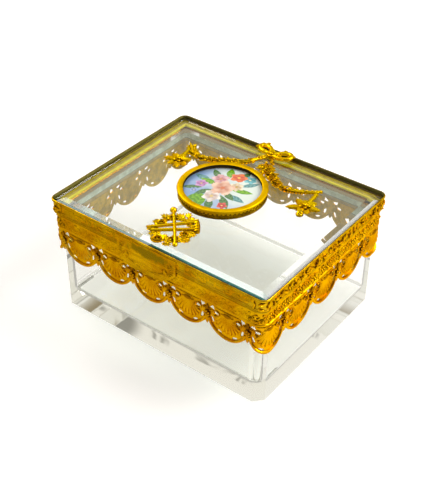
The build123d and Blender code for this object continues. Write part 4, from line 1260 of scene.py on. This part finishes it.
# ============================================================ floor, light and camera
def make_floor():
    """A pale tabletop that shows white where no shadow falls."""
    bm = bmesh.new()
    bmesh.ops.create_grid(bm, x_segments=1, y_segments=1, size=2.0)
    bmesh.ops.translate(bm, vec=(0, 0, -0.0002), verts=bm.verts)
    mesh = bpy.data.meshes.new("tabletop")
    bm.to_mesh(mesh)
    bm.free()
    floor = bpy.data.objects.new("tabletop", mesh)
    bpy.context.scene.collection.objects.link(floor)
    material, tree, out = new_material("white_table")
    ray = node(tree, "LightPath").outputs
    seen = figure(tree, "MAXIMUM", ray["Is Camera Ray"], ray["Is Transmission Ray"])
    mirrored = figure(tree, "SUBTRACT", ray["Is Glossy Ray"], ray["Is Transmission Ray"], clamp=True)
    matt = node(tree, "BsdfDiffuse", {"Color": (0.93, 0.905, 0.87, 1)})
    glow = node(tree, "Emission", {"Color": (1, 1, 1, 1), "Strength": figure(tree, "MULTIPLY", seen, 0.26)})
    both = node(tree, "AddShader", {0: matt.outputs[0], 1: glow.outputs[0]})
    # painted light: what the brass mirrors of the table is a glow, bright on the lamp's side and dim in front
    place = node(tree, "TexCoord").outputs["Object"]
    side = node(tree, "VectorMath", {0: place, 1: (0.8, 0.6, 0)}, operation="DOT_PRODUCT").outputs["Value"]
    mirrored_table = node(tree, "Emission", {"Color": (1, 1, 1, 1), "Strength": spread(tree, side, -0.12, 0.13, 0.66, 1.15)})
    surface = node(tree, "MixShader", {0: mirrored, 1: both.outputs[0], 2: mirrored_table.outputs[0]})
    # painted shade: what glass has turned back on its way out sees a dim glow, dimmer than what it lets through
    returned = figure(tree, "MULTIPLY", figure(tree, "MINIMUM", ray["Glossy Depth"], 1.0), ray["Is Transmission Ray"])
    echo = node(tree, "Emission", {"Color": (1, 0.97, 0.88, 1), "Strength": 0.42})
    surface = node(tree, "MixShader", {0: returned, 1: surface.outputs[0], 2: echo.outputs[0]})
    tree.links.new(surface.outputs[0], out["Surface"])
    mesh.materials.append(material)
    return floor


def make_world():
    """White all round for the camera; the room behind the camera is dim overhead."""
    world = bpy.data.worlds.new("white_tent")
    bpy.context.scene.world = world
    world.use_nodes = True
    tree = world.node_tree
    tree.nodes.clear()
    way = node(tree, "TexCoord").outputs["Generated"]
    split = node(tree, "SeparateXYZ", {0: way}).outputs
    front = node(tree, "VectorMath", {0: way, 1: (0.6, -0.8, 0)}, operation="DOT_PRODUCT").outputs["Value"]
    dim = figure(tree, "MULTIPLY", spread(tree, front, -0.1, 0.7), spread(tree, split[2], 0.05, 0.45))
    shade = blend_colour(tree, dim, (1, 1, 1, 1), (0.18, 0.18, 0.17, 1))
    # beyond the table's edge the room is dark, which the metal mirrors as deep lines
    beyond = figure(tree, "MULTIPLY", spread(tree, split[2], -0.02, 0.04), spread(tree, split[2], 0.46, 0.3))
    shade = blend_colour(tree, figure(tree, "MULTIPLY", beyond, 0.86), shade, (0.1, 0.08, 0.05, 1))
    ray = node(tree, "LightPath").outputs
    over = figure(tree, "MULTIPLY", spread(tree, front, 0.1, -0.5), spread(tree, split[2], 0.3, 0.5))
    shade = blend_colour(tree, figure(tree, "MULTIPLY", over, 0.5), shade, (0.25, 0.25, 0.22, 1))
    mirrored = figure(tree, "SUBTRACT", ray["Is Glossy Ray"], ray["Is Transmission Ray"], clamp=True)
    returned = figure(tree, "MULTIPLY", figure(tree, "MINIMUM", ray["Glossy Depth"], 1.0), ray["Is Transmission Ray"])
    shade = blend_colour(tree, mirrored, blend_colour(tree, returned, (1, 1, 1, 1), (0.55, 0.54, 0.48, 1)), shade)
    room = node(tree, "Background", {"Color": shade, "Strength": 1.0})
    soft = node(tree, "Background", {"Color": (1, 0.99, 0.97, 1), "Strength": 0.55})
    white = node(tree, "Background", {"Color": (1, 1, 1, 1), "Strength": 1.0})
    lit = node(tree, "MixShader", {0: ray["Is Diffuse Ray"], 1: room.outputs[0], 2: soft.outputs[0]})
    both = node(tree, "MixShader", {0: ray["Is Camera Ray"], 1: lit.outputs[0], 2: white.outputs[0]})
    out = tree.nodes.new("ShaderNodeOutputWorld")
    tree.links.new(both.outputs[0], out.inputs["Surface"])


def make_lamp(name, place, size, power, colour=(1, 1, 1)):
    lamp = bpy.data.lights.new(name, "AREA")
    lamp.shape = "DISK"
    lamp.size = size
    lamp.energy = power
    lamp.color = colour
    holder = bpy.data.objects.new(name, lamp)
    holder.matrix_world = Matrix.Translation(place) @ (Vector((0, 0, 0.04)) - Vector(place)).to_track_quat("-Z", "Y").to_matrix().to_4x4()
    bpy.context.scene.collection.objects.link(holder)
    return holder


def make_camera():
    """The photograph's viewing angle, from a camera fitted to the box's edges."""
    back = Vector((0.25436 + 0.0024, -0.33819 - 0.0012, 0.35946 - 0.035)).normalized()
    right = Vector((0, 0, 1)).cross(back).normalized()
    up = back.cross(right)
    roll = radians(0.44)
    across = cos(roll) * right + sin(roll) * up
    above = -sin(roll) * right + cos(roll) * up
    data = bpy.data.cameras.new("camera")
    data.sensor_width = 36
    data.lens = 69.44
    data.clip_start = 0.01
    camera = bpy.data.objects.new("camera", data)
    turn = Matrix((across, above, back)).transposed().to_4x4()
    camera.matrix_world = Matrix.Translation((0.25436, -0.33819, 0.35946)) @ turn
    bpy.context.scene.collection.objects.link(camera)
    bpy.context.scene.camera = camera


make_floor()
make_world()
make_lamp("key_lamp", (0.75, 0.45, 0.85), 0.7, 9.0, (1, 0.99, 0.97))
make_lamp("fill_lamp", (-0.76, 0.2, 0.8), 0.55, 3.6)
make_camera()
bpy.context.scene.view_settings.view_transform = "Standard"
